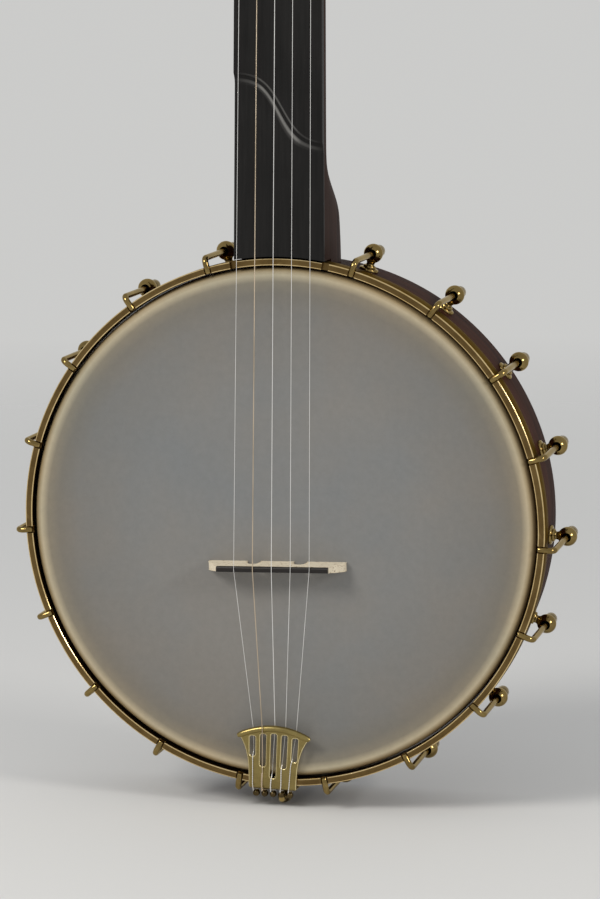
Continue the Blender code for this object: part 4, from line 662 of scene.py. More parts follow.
def slab(shape, outline, low, high, turn=None, soft=0.0):
    """A plate between two heights of its own frame, its edges rounded over."""
    old_verts, old_faces = set(shape.verts), set(shape.faces)
    plate = shape.faces.new([shape.verts.new((x, y, low)) for x, y in outline])
    made = bmesh.ops.extrude_face_region(shape, geom=[plate])["geom"]
    bmesh.ops.translate(shape, verts=[v for v in made if isinstance(v, bmesh.types.BMVert)],
                        vec=(0, 0, high - low))
    if soft:
        sides = [f for f in shape.faces if f not in old_faces and len(f.verts) == len(outline)]
        rims = [e for f in sides for e in f.edges]
        bmesh.ops.bevel(shape, geom=list(set(rims)), offset=soft, segments=3, profile=0.5, affect="EDGES",
                        material=-1, clamp_overlap=True)
    if turn is not None:
        bmesh.ops.transform(shape, matrix=turn, verts=[v for v in shape.verts if v not in old_verts])


def frame_at(point, out, across):
    """A frame at the point: its Z is the way out, its X the way across."""
    z = Vector(out).normalized()
    x = (Vector(across) - z * z.dot(Vector(across))).normalized()
    return Matrix.Translation(Vector(point)) @ Matrix((x, z.cross(x), z)).transposed().to_4x4()


HEAD = frame_at((NUT_MIDDLE, board_y(NUT_Z) + HEAD_STEP, NUT_Z + NUT_HALF),
                (0.0, -math.cos(HEAD_TILT), math.sin(HEAD_TILT)), (1, 0, 0))


def head_outline():
    """Slim at the nut, a long lobe, a waist and a flared top, drawn as one smooth line through its widths."""
    knots = [(19.5, 1.2), (19.5, 11.48), (28.52, 31.16), (31.0, 49.2), (30.07, 90.2), (25.42, 118.08),
             (21.06, 131.2), (23.76, 144.32), (27.0, 155.8)]
    knots += [(27.0 * s, HEAD_LENGTH * (0.95 + 0.05 * math.cos(s * math.pi / 2) ** 0.5)) for s in (0.75, 0.4)]
    right = rounded([(x, y, 0.0) for x, y in knots] + [(0.0, HEAD_LENGTH, 0.0)], 6.0, closed=False, steps=4)
    half = [(p.x, p.y) for p in right]
    return half + [(-x, y) for x, y in half[-2::-1]]


def peg_holes():
    made = bmesh.new()
    for x, y in PEGS.values():
        spin(made, [(0.0, -25.0), (BUSH + SEAT, -25.0), (BUSH + SEAT, 6.0), (0.0, 6.0)], 32,
             HEAD @ Matrix.Translation((x, y, 0)))
    return made


def pot_outline():
    """The room that the pot takes: its hoop with a little air, then the rim itself."""
    made, air = bmesh.new(), RIM_OUTSIDE + SEAT
    before, behind = -57.0, 114.0
    spin(made, [(0.0, before), (BOARD_END, before), (BOARD_END, RIM_SHOULDER), (air, RIM_SHOULDER),
                (air, behind), (0.0, behind)], RING_STEPS, round_pot())
    return made


FIFTH = frame_at((PIP_LEFT, board_y(488.0) + BOARD_THICK + SEAT + NECK_DEPTH * 0.42, FIFTH_Z),
                 (-1, 0, 0), (0, 0, 1))
neck_shape = bmesh.new()
skin(neck_shape, neck_rings())
head_block = bmesh.new()
slab(head_block, head_outline(), HEAD_BACK, -OVERLAY - SEAT, HEAD, soft=0.5)
neck_shape = cut(neck_shape, head_block, "UNION")
neck_tools = peg_holes()
spin(neck_tools, [(0.0, -FIFTH_DEEP - SEAT), (FIFTH_BARREL + SEAT, -FIFTH_DEEP - SEAT),
                  (FIFTH_BARREL + SEAT, 16.0), (0.0, 16.0)], 24, FIFTH)
neck_shape = cut(neck_shape, neck_tools)
socket = bmesh.new()
block(socket, (-DOWEL_ROOM_X, DOWEL_Y - DOWEL_ROOM_Y, 139.0),
      (DOWEL_ROOM_X, DOWEL_Y + DOWEL_ROOM_Y, DOWEL_TOP + SEAT))
neck_shape = cut(cut(neck_shape, pot_outline()), socket)
settle("neck_and_heel", neck_shape, [neck_wood], stands_for=("neck",), smooth=32)

# FINGERBOARD
# A fretless board of black, stone-like composite glued to the neck. Its lower end is scooped 3 mm
# deep, down from an S-shaped edge that the maker rounds over by hand.

SCOOP_DEPTH, EDGE_ROUND = 3.2, 0.7
SCOOP_MIDDLE, SCOOP_RISE, SCOOP_ASIDE, SCOOP_RUN = 246.2, 20.5, 2.5, 12.0
# Each step of the wall: how far it lies from the edge, how deep it is and how much painted highlight it
# takes.
SCOOP_WALL = ((-1.1, 0.0, 0.0), (-0.5, 0.05, 0.45), (0.1, 0.30, 0.3), (0.5, 0.65, 0.0), (1.3, 1.3, 0.0),
              (2.3, 1.9, 0.0), (3.0, 2.3, 0.75), (3.6, 2.55, 1.0), (4.2, 2.75, 0.8), (4.9, 2.95, 0.2),
              (6.4, SCOOP_DEPTH, 0.0))


def board_finish():
    """Satin black with rubbed streaks along it, and a pale painted highlight along the scoop's lip and cove.
    """
    made, tree, shader = new_finish("black board")
    where = place(tree, "ShaderNodeTexCoord").outputs["Object"]
    along = stretched(tree, where, (1.0, 1.0, 0.03))
    streak = noise(tree, along, 700.0, 4.0, 0.65)
    cloud = noise(tree, where, 26.0, 4.0, 0.6)
    tone = ramp(tree, streak, [(0.3, (0.0060, 0.0057, 0.0055)), (0.7, (0.0115, 0.0108, 0.0104))])
    tone = mix(tree, 1.0, tone, ramp(tree, cloud, [(0.35, 0.85), (0.7, 1.15)]), "MULTIPLY")
    aside = sums(tree, "ABSOLUTE", place(tree, "ShaderNodeSeparateXYZ", [(0, where)]).outputs[0])
    across = sums(tree, "DIVIDE", aside, HEEL_HALF * MM)
    middle = ramp(tree, across, [(0.0, 1.0), (0.38, 1.0), (0.5, 0.4), (0.74, 0.22), (0.95, 0.04)])
    # Paler colour and a little less roughness where the wall carries the painted highlight, fading towards
    # the board's sides.
    burnish = place(tree, "ShaderNodeAttribute", attribute_name="burnish").outputs["Fac"]
    pale = sums(tree, "MULTIPLY", burnish, middle)
    tree.links.new(mix(tree, pale, tone, (0.20, 0.195, 0.185, 1.0)), shader.inputs["Base Color"])
    rough = sums(tree, "ADD", sums(tree, "MULTIPLY", cloud, 0.16), 0.34)
    polished = sums(tree, "SUBTRACT", rough, sums(tree, "MULTIPLY", pale, 0.12))
    tree.links.new(polished, shader.inputs["Roughness"])
    shader.inputs["Specular IOR Level"].default_value = 0.16
    bump(tree, shader, streak, 0.012 * MM)
    return made


def scoop_line(x):
    """Height of the S-shaped edge, high on the bass side and low on the treble side."""
    return SCOOP_MIDDLE - SCOOP_RISE * math.tanh((x - SCOOP_ASIDE) / SCOOP_RUN)


def board_rows():
    """Each row gives its height, its depth below the playing surface and its burnish, from the pot up."""
    def lower(share):
        def row(x):
            end = math.sqrt(BOARD_END ** 2 - x * x)
            return blend(end, scoop_at(x, SCOOP_WALL[-1][0]), share), SCOOP_DEPTH, 0.0
        return row

    def scoop_at(x, away):
        lean = SCOOP_RISE / SCOOP_RUN / math.cosh((x - SCOOP_ASIDE) / SCOOP_RUN) ** 2
        return scoop_line(x) - away * math.hypot(1.0, lean)

    rows = [lower(k / 8) for k in range(8)]
    rows += [lambda x, a=a, d=d, b=b: (scoop_at(x, a), d, b) for a, d, b in reversed(SCOOP_WALL)]
    heights = [276.0, 290.0, 320.0, 360.0, 400.0, 440.0, 470.0]
    heights += [STEP_START + STEP_LENGTH * k / 12 for k in range(13)]
    heights += [540.0, 575.0, 610.0, NUT_Z - NUT_HALF - SEAT]
    return rows + [lambda x, z=z: (z, 0.0, 0.0) for z in heights]


def board_columns():
    """Places across the board: how far from the left edge, then shares of the middle, then the right."""
    near = [0.0, 0.1, 0.3, 0.5, EDGE_ROUND]
    inner = [(k / 30, "share") for k in range(1, 30)]
    return [(n, "left") for n in near] + inner + [(n, "right") for n in near[::-1]]


def build_board():
    rows, columns = board_rows(), board_columns()
    wide, tall = len(columns) - 1, len(rows) - 1
    shape = bmesh.new()
    # Each vertex carries its wall row's share of the painted highlight.
    burnish = shape.verts.layers.float.new("burnish")
    grid = bmesh.ops.create_grid(shape, x_segments=wide, y_segments=tall, size=1.0)["verts"]
    for vert in grid:
        amount, side = columns[round((vert.co.x + 1.0) / 2 * wide)]
        row = rows[round((vert.co.y + 1.0) / 2 * tall)]
        x, z, depth = 0.0, 246.0, 0.0
        # The board tapers, so the place across and the height are found from each other, three times.
        for _ in range(3):
            left, right = left_edge(z), right_edge(z)
            inner = blend(left + EDGE_ROUND, right - EDGE_ROUND, amount)
            x = {"left": left + amount, "right": right - amount, "share": inner}[side]
            z, depth, vert[burnish] = row(x)
        edge = 0.0 if side == "share" else EDGE_ROUND - amount
        depth += EDGE_ROUND - math.sqrt(max(0.0, EDGE_ROUND ** 2 - edge ** 2))
        vert.co = (x, board_y(z) + depth, z)
    made = bmesh.ops.extrude_face_region(shape, geom=shape.faces[:], use_keep_orig=True)["geom"]
    for vert in made:
        if isinstance(vert, bmesh.types.BMVert):
            vert.co.y = board_y(vert.co.z) + BOARD_THICK
    return shape


black_board = board_finish()
settle("fretless_board", build_board(), [black_board], stands_for=("fingerboard",),
       smooth=25)

# PEGHEAD OVERLAY
# A thin sheet of the same black composite glued to the peghead's face and bored for the four pegs.

overlay_shape = bmesh.new()
slab(overlay_shape, head_outline(), -OVERLAY, 0.0, HEAD, soft=0.5)
settle("peghead_face", cut(overlay_shape, peg_holes()), [black_board], stands_for=("peghead_overlay",),
       smooth=30)

# NUT AND PIP
# A block of bone across the end of the board, notched for four strings, and a small turned bone pip
# beside the board that starts the fifth string.

STRING_SIZES = {1: 0.26, 2: 0.30, 3: 0.38, 4: 0.56, 5: 0.26}
STRING_ORDER = {5: -2, 4: -1, 3: 0, 2: 1, 1: 2}
SLANT = Matrix.Translation((-1.8, 0.0, -24.5)) @ Matrix.Rotation(math.radians(-1.5), 4, "Y")
BRIDGE_HIGH, BRIDGE_GAP, NUT_GAP, NUT_RISE, NUT_SLOT = 15.9, 11.5, 9.9, 1.0, 0.42


def bone_finish(name, light, dark):
    """Bone or its imitation: cream, with faint growth streaks and a soft polish."""
    made, tree, shader = new_finish(name)
    where = place(tree, "ShaderNodeTexCoord").outputs["Object"]
    streak = noise(tree, stretched(tree, where, (0.15, 1.0, 1.0)), 420.0, 5.0, 0.6)
    tree.links.new(ramp(tree, streak, [(0.35, dark), (0.62, light)]), shader.inputs["Base Color"])
    tree.links.new(sums(tree, "ADD", sums(tree, "MULTIPLY", streak, 0.14), 0.25), shader.inputs["Roughness"])
    shader.inputs["Subsurface Weight"].default_value = 0.12
    shader.inputs["Subsurface Radius"].default_value = (1.2 * MM, 0.8 * MM, 0.5 * MM)
    bump(tree, shader, streak, 0.01 * MM)
    return made


def bridge_point(string):
    height = BRIDGE_HIGH + STRING_SIZES[string] / 2 + SEAT
    return SLANT @ Vector((STRING_ORDER[string] * BRIDGE_GAP, -height, 0.0))


def nut_point(string):
    across = NUT_MIDDLE + (STRING_ORDER[string] - 0.5) * NUT_GAP
    return Vector((across, board_y(NUT_Z) - NUT_RISE, NUT_Z))


def on_string(string, z):
    low, high = bridge_point(string), nut_point(string)
    return low.lerp(high, (z - low.z) / (high.z - low.z))


def notched(shape, outline, left, right, notches, deep, turn=None):
    """A bar of one outline drawn across x, its front corner line let in at every notch."""
    half = 0.45
    stops = [(left, 0.0), (right, 0.0)]
    for x in notches:
        stops += [(x - half, 0.0), (x - half * 0.7, deep * 0.8), (x, deep), (x + half * 0.7, deep * 0.8),
                  (x + half, 0.0)]
    old = set(shape.verts)
    skin(shape, [[Vector((x, y + let_in * front, z)) for z, y, front in outline]
                 for x, let_in in sorted(stops)])
    if turn is not None:
        bmesh.ops.transform(shape, matrix=turn, verts=[v for v in shape.verts if v not in old])


bone = bone_finish("bone", (0.74, 0.66, 0.50), (0.58, 0.49, 0.34))
crest, back = board_y(NUT_Z) - NUT_RISE, board_y(NUT_Z) + BOARD_THICK
nut_outline = [(NUT_Z - NUT_HALF, back, 0.0), (NUT_Z - NUT_HALF, crest + 0.35, 0.6),
               (NUT_Z - 2.2, crest + 0.1, 1.0), (NUT_Z - 1.4, crest + 0.05, 1.0),
               (NUT_Z + 0.2, crest + 0.35, 1.0), (NUT_Z + 1.6, crest + 0.95, 0.8),
               (NUT_Z + 2.4, crest + 1.7, 0.3), (NUT_Z + NUT_HALF, crest + 2.2, 0.0),
               (NUT_Z + NUT_HALF, back, 0.0)]
nut_shape = bmesh.new()
notched(nut_shape, nut_outline, left_edge(NUT_Z), right_edge(NUT_Z),
        [nut_point(s).x for s in (1, 2, 3, 4)], NUT_SLOT)
settle("bone_nut", nut_shape, [bone], stands_for=("nut",), smooth=40)
pip = on_string(5, PIP_Z)
pip_high = board_y(PIP_Z) - pip.y - STRING_SIZES[5] / 2 - SEAT
pip_shape = bmesh.new()
spin(pip_shape, [(0.0, SEAT), (1.55, SEAT), (1.7, 0.45), (1.7, pip_high - 0.55), (1.6, pip_high - 0.25),
                 (1.3, pip_high - 0.05), (0.8, pip_high), (0.0, pip_high)], 28,
     frame_at((pip.x, board_y(PIP_Z), PIP_Z), (0, -1, 0), (1, 0, 0)))
settle("fifth_string_pip", pip_shape, [bone], stands_for=("fifth_string_nut",))

# TUNING PEGS
# Four planetary pegs: a bush and nut through the peghead, a round geared case behind it, a waisted post
# that carries the string and an oval button on the case's shaft. The button turns four times for one
# turn of the post.

POST_HOLE, POST_WAIST, CASE_BACK = 10.4, 2.5, -36.3
ivory = bone_finish("button ivory", (0.66, 0.57, 0.40), (0.56, 0.46, 0.30))
HOUSING = [(0.0, -11.35), (3.35, -11.35), (3.35, 3.0), (3.9, 3.0), (4.3, 2.7), (4.35, 1.2), (5.55, 1.2),
           (5.8, 1.0), (5.8, 0.5), (5.6, SEAT), (BUSH, SEAT), (BUSH, HEAD_BACK - SEAT),
           (8.0, HEAD_BACK - SEAT), (8.2, -15.5), (8.2, -17.3), (8.0, -17.5), (7.54, -17.9), (7.54, -18.6),
           (7.25, -18.8), (7.25, -19.3), (7.54, -19.5), (7.54, -32.8), (7.35, -33.8), (6.9, -35.0),
           (6.2, -35.9), (5.73, -36.2), (5.3, CASE_BACK), (2.45, CASE_BACK), (2.45, -33.3), (0.0, -33.3)]
PEG_NUT = [(3.4, 1.2), (5.0, 1.2), (5.3, 1.4), (5.3, 2.5), (4.9, 2.85), (3.4, 2.85)]
POST = [(0.0, -11.0), (3.0, -11.0), (3.0, 5.2), (2.9, 5.7), (2.6, 6.5), (POST_WAIST, 7.0),
        (POST_WAIST, 11.3), (2.65, 12.1), (2.95, 12.8), (3.0, 13.2), (3.0, 14.6), (2.85, 15.0),
        (2.5, 15.35), (2.1, 15.5), (0.0, 15.5)]


def button_shape(gap, start, turn):
    """An oval bulb squeezed flat on its stem, with a metal collar at its foot."""
    made = bmesh.new()
    bulb = [(0.0, 0.0)]
    for k in range(25):
        t = k / 24
        bulb.append((0.5 * (0.30 + 0.70 * math.sin(math.pi * (0.12 + 0.78 * t)) ** 0.7), t))
    fit = Matrix.Translation((0, 0, gap)) @ Matrix.Diagonal((23.0, 9.5, 17.0, 1.0))
    spin(made, bulb + [(0.0, 1.0)], 48, turn @ fit)
    spin(made, [(0.0, start), (2.1, start), (2.1, gap + 1.0), (0.0, gap + 1.2)], 24, turn, mark=1)
    return made


for string, (x, y) in PEGS.items():
    peg = HEAD @ Matrix.Translation((x, y, 0))
    case = bmesh.new()
    spin(case, HOUSING, 48, peg)
    spin(case, PEG_NUT, 6, peg, closed=True)
    settle("peg_%d_case" % string, case, [fitting_brass], stands_for=("tuner_%d_housing" % string,),
           smooth=30)
    drill, post = bmesh.new(), bmesh.new()
    spin(post, POST, 40, peg)
    spin(drill, [(0.0, -6.0), (0.75, -6.0), (0.75, 6.0), (0.0, 6.0)], 16,
         peg @ Matrix.Translation((0, 0, POST_HOLE)) @ Matrix.Rotation(math.radians(90), 4, "Y"))
    settle("peg_%d_post" % string, cut(post, drill), [fitting_brass], "post_%d" % string,
           ("tuner_%d_post" % string,), 30)
    foot = peg @ Matrix.Translation((0, 0, CASE_BACK)) @ Matrix.Rotation(math.pi, 4, "X")
    settle("peg_%d_button" % string, button_shape(2.0, -2.65, foot), [ivory, fitting_brass],
           "button_%d" % string, ("tuner_%d_button" % string,), 45)

# FIFTH PEG
# A plain friction peg set in the bass side of the neck: a brass bush pressed into the wood, a waisted
# post that turns in it and the same oval button.

FIFTH_SHOULDER, FIFTH_END = 1.95, 12.95
FIFTH_BUSH = [(0.0, -FIFTH_DEEP), (FIFTH_BARREL, -FIFTH_DEEP), (FIFTH_BARREL, SEAT), (5.0, SEAT), (5.16, 0.5),
              (5.1, 1.0), (4.76, 1.45), (4.5, 1.6), (2.35, 1.6), (2.35, -10.0), (0.0, -10.0)]
FIFTH_POST = [(0.0, -9.65), (2.0, -9.65), (2.0, FIFTH_SHOULDER), (3.0, FIFTH_SHOULDER), (3.0, 2.75),
              (2.65, 3.3), (POST_WAIST, 3.9), (POST_WAIST, 9.0), (2.65, 9.6), (3.0, 10.15), (4.2, 10.5),
              (4.9, 10.8), (5.1, 11.1), (5.1, 12.8), (4.95, FIFTH_END), (2.45, FIFTH_END), (2.45, 11.45),
              (0.0, 11.45)]
bush_shape, fifth_shape = bmesh.new(), bmesh.new()
spin(bush_shape, FIFTH_BUSH, 40, FIFTH)
settle("fifth_peg_bush", bush_shape, [fitting_brass], stands_for=("fifth_peg_bushing",))
spin(fifth_shape, FIFTH_POST, 40, FIFTH)
settle("fifth_peg_barrel", fifth_shape, [fitting_brass], "fifth_peg", ("fifth_peg_post",))
settle("fifth_peg_thumb", button_shape(0.8, -1.15, FIFTH @ Matrix.Translation((0, 0, FIFTH_END))),
       [ivory, fitting_brass], "fifth_peg", ("fifth_peg_button",), 45)

# DOWEL STICK
# A maple stick glued into the heel that runs through the pot to its tail, planed to a taper with its
# corners eased. It draws the neck against the rim.

STICK_LINE = Matrix.Translation((0, DOWEL_Y, 0))
BOLT_END, BOLT_HALF = -121.7, 3.2


def eased(half_x, half_y, z):
    """A section of the stick with rounded corners."""
    square = [(-half_x, -half_y, 0), (half_x, -half_y, 0), (half_x, half_y, 0), (-half_x, half_y, 0)]
    return [Vector((p.x, DOWEL_Y + p.y, z)) for p in rounded(square, 3.0, steps=5)]


maple = grained("maple", (0.54, 0.37, 0.20), (0.42, 0.27, 0.135), (0.22, 0.12, 0.055), 0.42, bands=95.0,
                pore_depth=0.30, coat=0.08)
dowel_shape = bmesh.new()
skin(dowel_shape, [eased(DOWEL_WIDE / 2, DOWEL_DEEP / 2, DOWEL_TOP),
                   eased(DOWEL_WIDE / 2, DOWEL_DEEP / 2, 129.7), eased(9.75, 12.25, -5.0),
                   eased(8.5, 11.0, -138.95)])
bolt_way = bmesh.new()
spin(bolt_way, [(0.0, -145.0), (BOLT_HALF + SEAT, -145.0), (BOLT_HALF + SEAT, BOLT_END + SEAT),
                (0.0, BOLT_END + SEAT)], 24, STICK_LINE)
settle("maple_dowel", cut(dowel_shape, bolt_way), [maple], stands_for=("dowel_stick",))

# NECK BRACE
# A flat brass plate with a square hole for the stick. It lies against the inside of the rim, and two
# screws hold it there.

BRACE_HALF, BRACE_TALL, BRACE_LOW, BRACE_HIGH = 19.0, 17.5, 135.4, 137.9
brace_screw = [(0.0, -1.0), (2.6, -1.0), (2.6, 0.5), (2.2, 1.2), (1.2, 1.6), (0.0, 1.7)]
brace_shape, brace_hole = bmesh.new(), bmesh.new()
slab(brace_shape, [(-BRACE_HALF, -BRACE_TALL), (BRACE_HALF, -BRACE_TALL), (BRACE_HALF, BRACE_TALL),
                   (-BRACE_HALF, BRACE_TALL)], BRACE_LOW, BRACE_HIGH, STICK_LINE, soft=0.6)
block(brace_hole, (-DOWEL_ROOM_X, DOWEL_Y - DOWEL_ROOM_Y, 130.0),
      (DOWEL_ROOM_X, DOWEL_Y + DOWEL_ROOM_Y, 142.0))
brace_shape = cut(brace_shape, brace_hole)
for side in (-1, 1):
    under = Matrix.Translation((side * 15.2, DOWEL_Y, BRACE_LOW)) @ Matrix.Rotation(math.pi, 4, "X")
    spin(brace_shape, brace_screw, 24, under, mark=1)
settle("brass_brace", brace_shape, [fitting_brass, screw_steel], stands_for=("neck_brace",))

# END BOLT
# A turned brass bolt through the rim's tail into the dowel stick. Its domed head also holds the eye of
# the tailpiece's hanger.

bolt_shape = bmesh.new()
spin(bolt_shape, [(0.0, BOLT_END), (BOLT_HALF, BOLT_END), (BOLT_HALF, -156.2), (6.7, -156.2), (7.0, -156.5),
                  (7.0, -158.4), (6.7, -158.8), (6.55, -159.2), (6.7, -159.7), (6.55, -160.6),
                  (6.0, -161.7), (5.1, -162.7), (4.0, -163.4), (2.2, -164.0), (0.0, -164.2)], 48, STICK_LINE)
settle("turned_end_bolt", bolt_shape, [fitting_brass], stands_for=("end_bolt",))

# TAILPIECE
# A fan of brass sheet with five open slots, a round lip along its top and five ball pins below for the
# strings' loops. It is bent back round the hoop to a tab, and a rod from the tab to the end bolt holds it.

SHEET, FAN_HALF, FOOT_HALF, FAN_LONG, FAN_BULGE, LIP = 1.3, 22.1, 14.75, 34.0, 5.8, 3.6
TAIL_FOOT, TAIL_ASIDE, TAIL_TILT, TAIL_SHEAR = -(HOOP_OUTER + SEAT + SHEET), -5.7, math.radians(1.3), 0.053
TAIL_LEAN = Matrix(((1, 0, TAIL_SHEAR, 0), (0, 1, 0, 0), (0, 0, 1, 0), (0, 0, 0, 1)))
TAIL_TURN = (Matrix.Translation((TAIL_ASIDE, 0, TAIL_FOOT)) @ TAIL_LEAN @ Matrix.Rotation(TAIL_TILT, 4, "Y")
             @ Matrix.Translation((0, 0, -TAIL_FOOT)))
FACE_TOP_Y, FACE_FOOT_Y, FACE_TOP, FACE_RUN = -7.4, -1.95, -119.3, 39.4
SLOT_HALF, SLOT_CORNER, SLOT_ENDS = 1.75, 0.7, (19.5, 13.2, 6.1, 12.7, 17.4)
SLOT_FOOT_GAP, SLOT_TOP_GAP, SLOT_UNDER = 6.3, 6.6, 5.3
TAB_X, TAB_HALF, TAB_Y, TAB_END, TAB_CORNER = 4.4, 4.0, 16.0, -172.3, 1.5
TAB_HOLE, TAB_HOLE_Z = 2.1, -168.8
PIN_GAP, PIN_SHIFT, PIN_Y, PIN_NECK, PIN_BALL, PIN_BALL_UP = 5.17, -0.4, 3.4, 1.15, 2.15, 3.6
IN_SLOT = {5: -12.6, 3: -0.7, 2: 5.3, 1: 11.5}
AT_FOOT = {5: -12.05, 4: -6.4, 3: -0.9, 2: 5.5, 1: 10.5}
tail_brass = brassed("tailpiece brass", (0.43, 0.34, 0.13), (0.26, 0.20, 0.074), (0.026, 0.020, 0.009), 0.45,
                     0.24)
# Bright gold on the tailpiece's bevels: rubbed edges, with a painted highlight in their brightness.
tail_edge_highlight = brassed("tailpiece edge with painted highlight", (0.90, 0.78, 0.46), (0.70, 0.58, 0.30), (0.20, 0.16, 0.08), 0.7, 0.16)


def edge_z(x):
    """Height of the fan's bulging top edge."""
    return TAIL_FOOT + FAN_LONG + FAN_BULGE * (1 - (x / FAN_HALF) ** 2)


def face_y(z):
    """Middle of the sheet, which leans towards the listener at its top."""
    return blend(FACE_TOP_Y, FACE_FOOT_Y, (FACE_TOP - z) / FACE_RUN)


def facing(shape):
    """Turns a plate drawn in (x, z) with its thickness upwards, so that it stands across y."""
    bmesh.ops.transform(shape, verts=shape.verts,
                        matrix=Matrix(((1, 0, 0, 0), (0, 0, -1, 0), (0, 1, 0, 0), (0, 0, 0, 1))))
    return shape


def thickened(line, thick):
    """Closed outline of a sheet whose middle follows the line."""
    sides = ([], [])
    for k, p in enumerate(line):
        before = (p - line[k - 1]).normalized() if k else (line[1] - p).normalized()
        after = (line[k + 1] - p).normalized() if k + 1 < len(line) else before
        middle = (before + after).normalized()
        reach = thick / 2 / max(0.5, middle.dot(before))
        sides[0].append(p + Vector((-middle.y, middle.x)) * reach)
        sides[1].append(p - Vector((-middle.y, middle.x)) * reach)
    return sides[0] + sides[1][::-1]


def slot_x(place_across, z):
    return place_across * blend(SLOT_FOOT_GAP, SLOT_TOP_GAP, (z - TAIL_FOOT) / FAN_LONG)


def fan_outline():
    right = [(FAN_HALF * k / 8, edge_z(FAN_HALF * k / 8)) for k in range(9)]
    for along, share in ((0.07, 0.15), (0.14, 0.34), (0.23, 0.54), (0.34, 0.71), (0.46, 0.84), (0.60, 0.93),
                         (0.80, 0.985)):
        right.append((blend(FAN_HALF, FOOT_HALF, share), TAIL_FOOT + FAN_LONG * (1 - along)))
    right += [(FOOT_HALF, TAIL_FOOT), (FOOT_HALF - 0.4, TAIL_FOOT - 0.9), (FOOT_HALF - 1.3, TAIL_FOOT - 1.3)]
    low, near, far = TAIL_FOOT - 1.8, TAB_X - TAB_HALF, TAB_X + TAB_HALF
    tab = [(far, low), (far, -170.6), (far - TAB_CORNER, TAB_END), (near + TAB_CORNER, TAB_END),
           (near, -170.6), (near, low)]
    return right + tab + [(-x, z) for x, z in right[:0:-1]]


def slot_outline(place_across):
    low = TAIL_FOOT + SLOT_ENDS[place_across + 2]
    top = place_across * SLOT_TOP_GAP
    high = edge_z(top) - SLOT_UNDER
    x = slot_x(place_across, low)
    turns = [math.pi * j / 12 for j in range(13)]
    foot = [(x - SLOT_HALF * math.cos(a), low + SLOT_HALF - SLOT_HALF * math.sin(a)) for a in turns]
    return foot + [(top + SLOT_HALF, high - SLOT_CORNER), (top + SLOT_HALF - SLOT_CORNER, high),
                   (top - SLOT_HALF + SLOT_CORNER, high), (top - SLOT_HALF, high - SLOT_CORNER)]


def lip_point(x):
    z = edge_z(x) - LIP / 2
    return Vector((x, face_y(z) - LIP / 4, z))


def soften(shape, offset, steps, least):
    """Rounds every edge that turns by more than the least angle."""
    sharp = [e for e in shape.edges if len(e.link_faces) == 2 and e.calc_face_angle(0.0) > math.radians(least)
             and e.calc_length() > offset * 0.8]
    return bmesh.ops.bevel(shape, geom=sharp, offset=offset, segments=steps, profile=0.5, affect="EDGES",
                           material=-1, clamp_overlap=False)["faces"]


def tail_sheet():
    """The bent sheet, cut to the fan's outline, then its slots and the tab's hole."""
    bend = [Vector(p) for p in ((FACE_TOP_Y, edge_z(0.0) + 1.0), (FACE_FOOT_Y, -158.0), (-1.55, -159.3),
                                (-0.75, -160.35), (0.45, -160.95), (14.6, -160.95), (15.5, -161.3),
                                (TAB_Y, -162.3), (TAB_Y, -176.4))]
    bend[0].x = face_y(bend[0].y)
    sheet = bmesh.new()
    skin(sheet, [[Vector((x, y, z)) for y, z in thickened(bend, SHEET)] for x in (-30.0, 30.0)])
    fan = bmesh.new()
    slab(fan, fan_outline(), -60.0, 60.0)
    sheet = cut(sheet, facing(fan), "INTERSECT")
    slots = bmesh.new()
    for place_across in range(-2, 3):
        slab(slots, slot_outline(place_across), -30.0, 30.0)
    facing(slots)
    hole = [(0.0, TAB_Y - 5.0), (TAB_HOLE, TAB_Y - 5.0), (TAB_HOLE, TAB_Y + 5.0), (0.0, TAB_Y + 5.0)]
    spin(slots, hole, 24, Matrix.Translation((TAB_X, 0, TAB_HOLE_Z)) @ round_pot())
    return cut(sheet, slots)


tail_shape = tail_sheet()
bmesh.ops.dissolve_limit(tail_shape, angle_limit=math.radians(1), verts=tail_shape.verts,
                         edges=tail_shape.edges)
# The bevels take the bright edge brass, a painted highlight.
for face in soften(tail_shape, 0.55, 4, 50):
    face.material_index = 1
lip_line = [lip_point(FAN_HALF * (k / 16 - 1)) for k in range(33)]
pipe(tail_shape, lip_line, LIP / 2, 24, [0.7, 0.93] + [1.0] * 29 + [0.93, 0.7])
pin_turns = [math.radians(d) for d in range(36, 180, 12)]
pin_line = [(0.0, -0.8), (1.3, -0.8), (1.3, 0.15), (PIN_NECK, 0.4), (PIN_NECK, 1.6)]
pin_line += [(PIN_BALL * math.sin(a), PIN_BALL_UP - PIN_BALL * math.cos(a)) for a in pin_turns]
pin_line.append((0.0, PIN_BALL_UP + PIN_BALL))
# The pins take the darker brass (mark 2), whose dark brown is painted shade.
for string in STRING_ORDER:
    pin = (STRING_ORDER[string] * PIN_GAP + PIN_SHIFT, PIN_Y, TAIL_FOOT - SHEET)
    spin(tail_shape, pin_line, 28, frame_at(pin, (0, 0, -1), (1, 0, 0)), mark=2)
bmesh.ops.transform(tail_shape, matrix=TAIL_TURN, verts=tail_shape.verts)
settle("slotted_tailpiece", tail_shape, [tail_brass, tail_edge_highlight, painted_shade_brass], stands_for=("tailpiece",),
       smooth=38)

# TAILPIECE HANGER
# A bent brass rod from the end bolt's eye, round under the rim and through the tailpiece's tab, with a
# round nut on its threaded end.

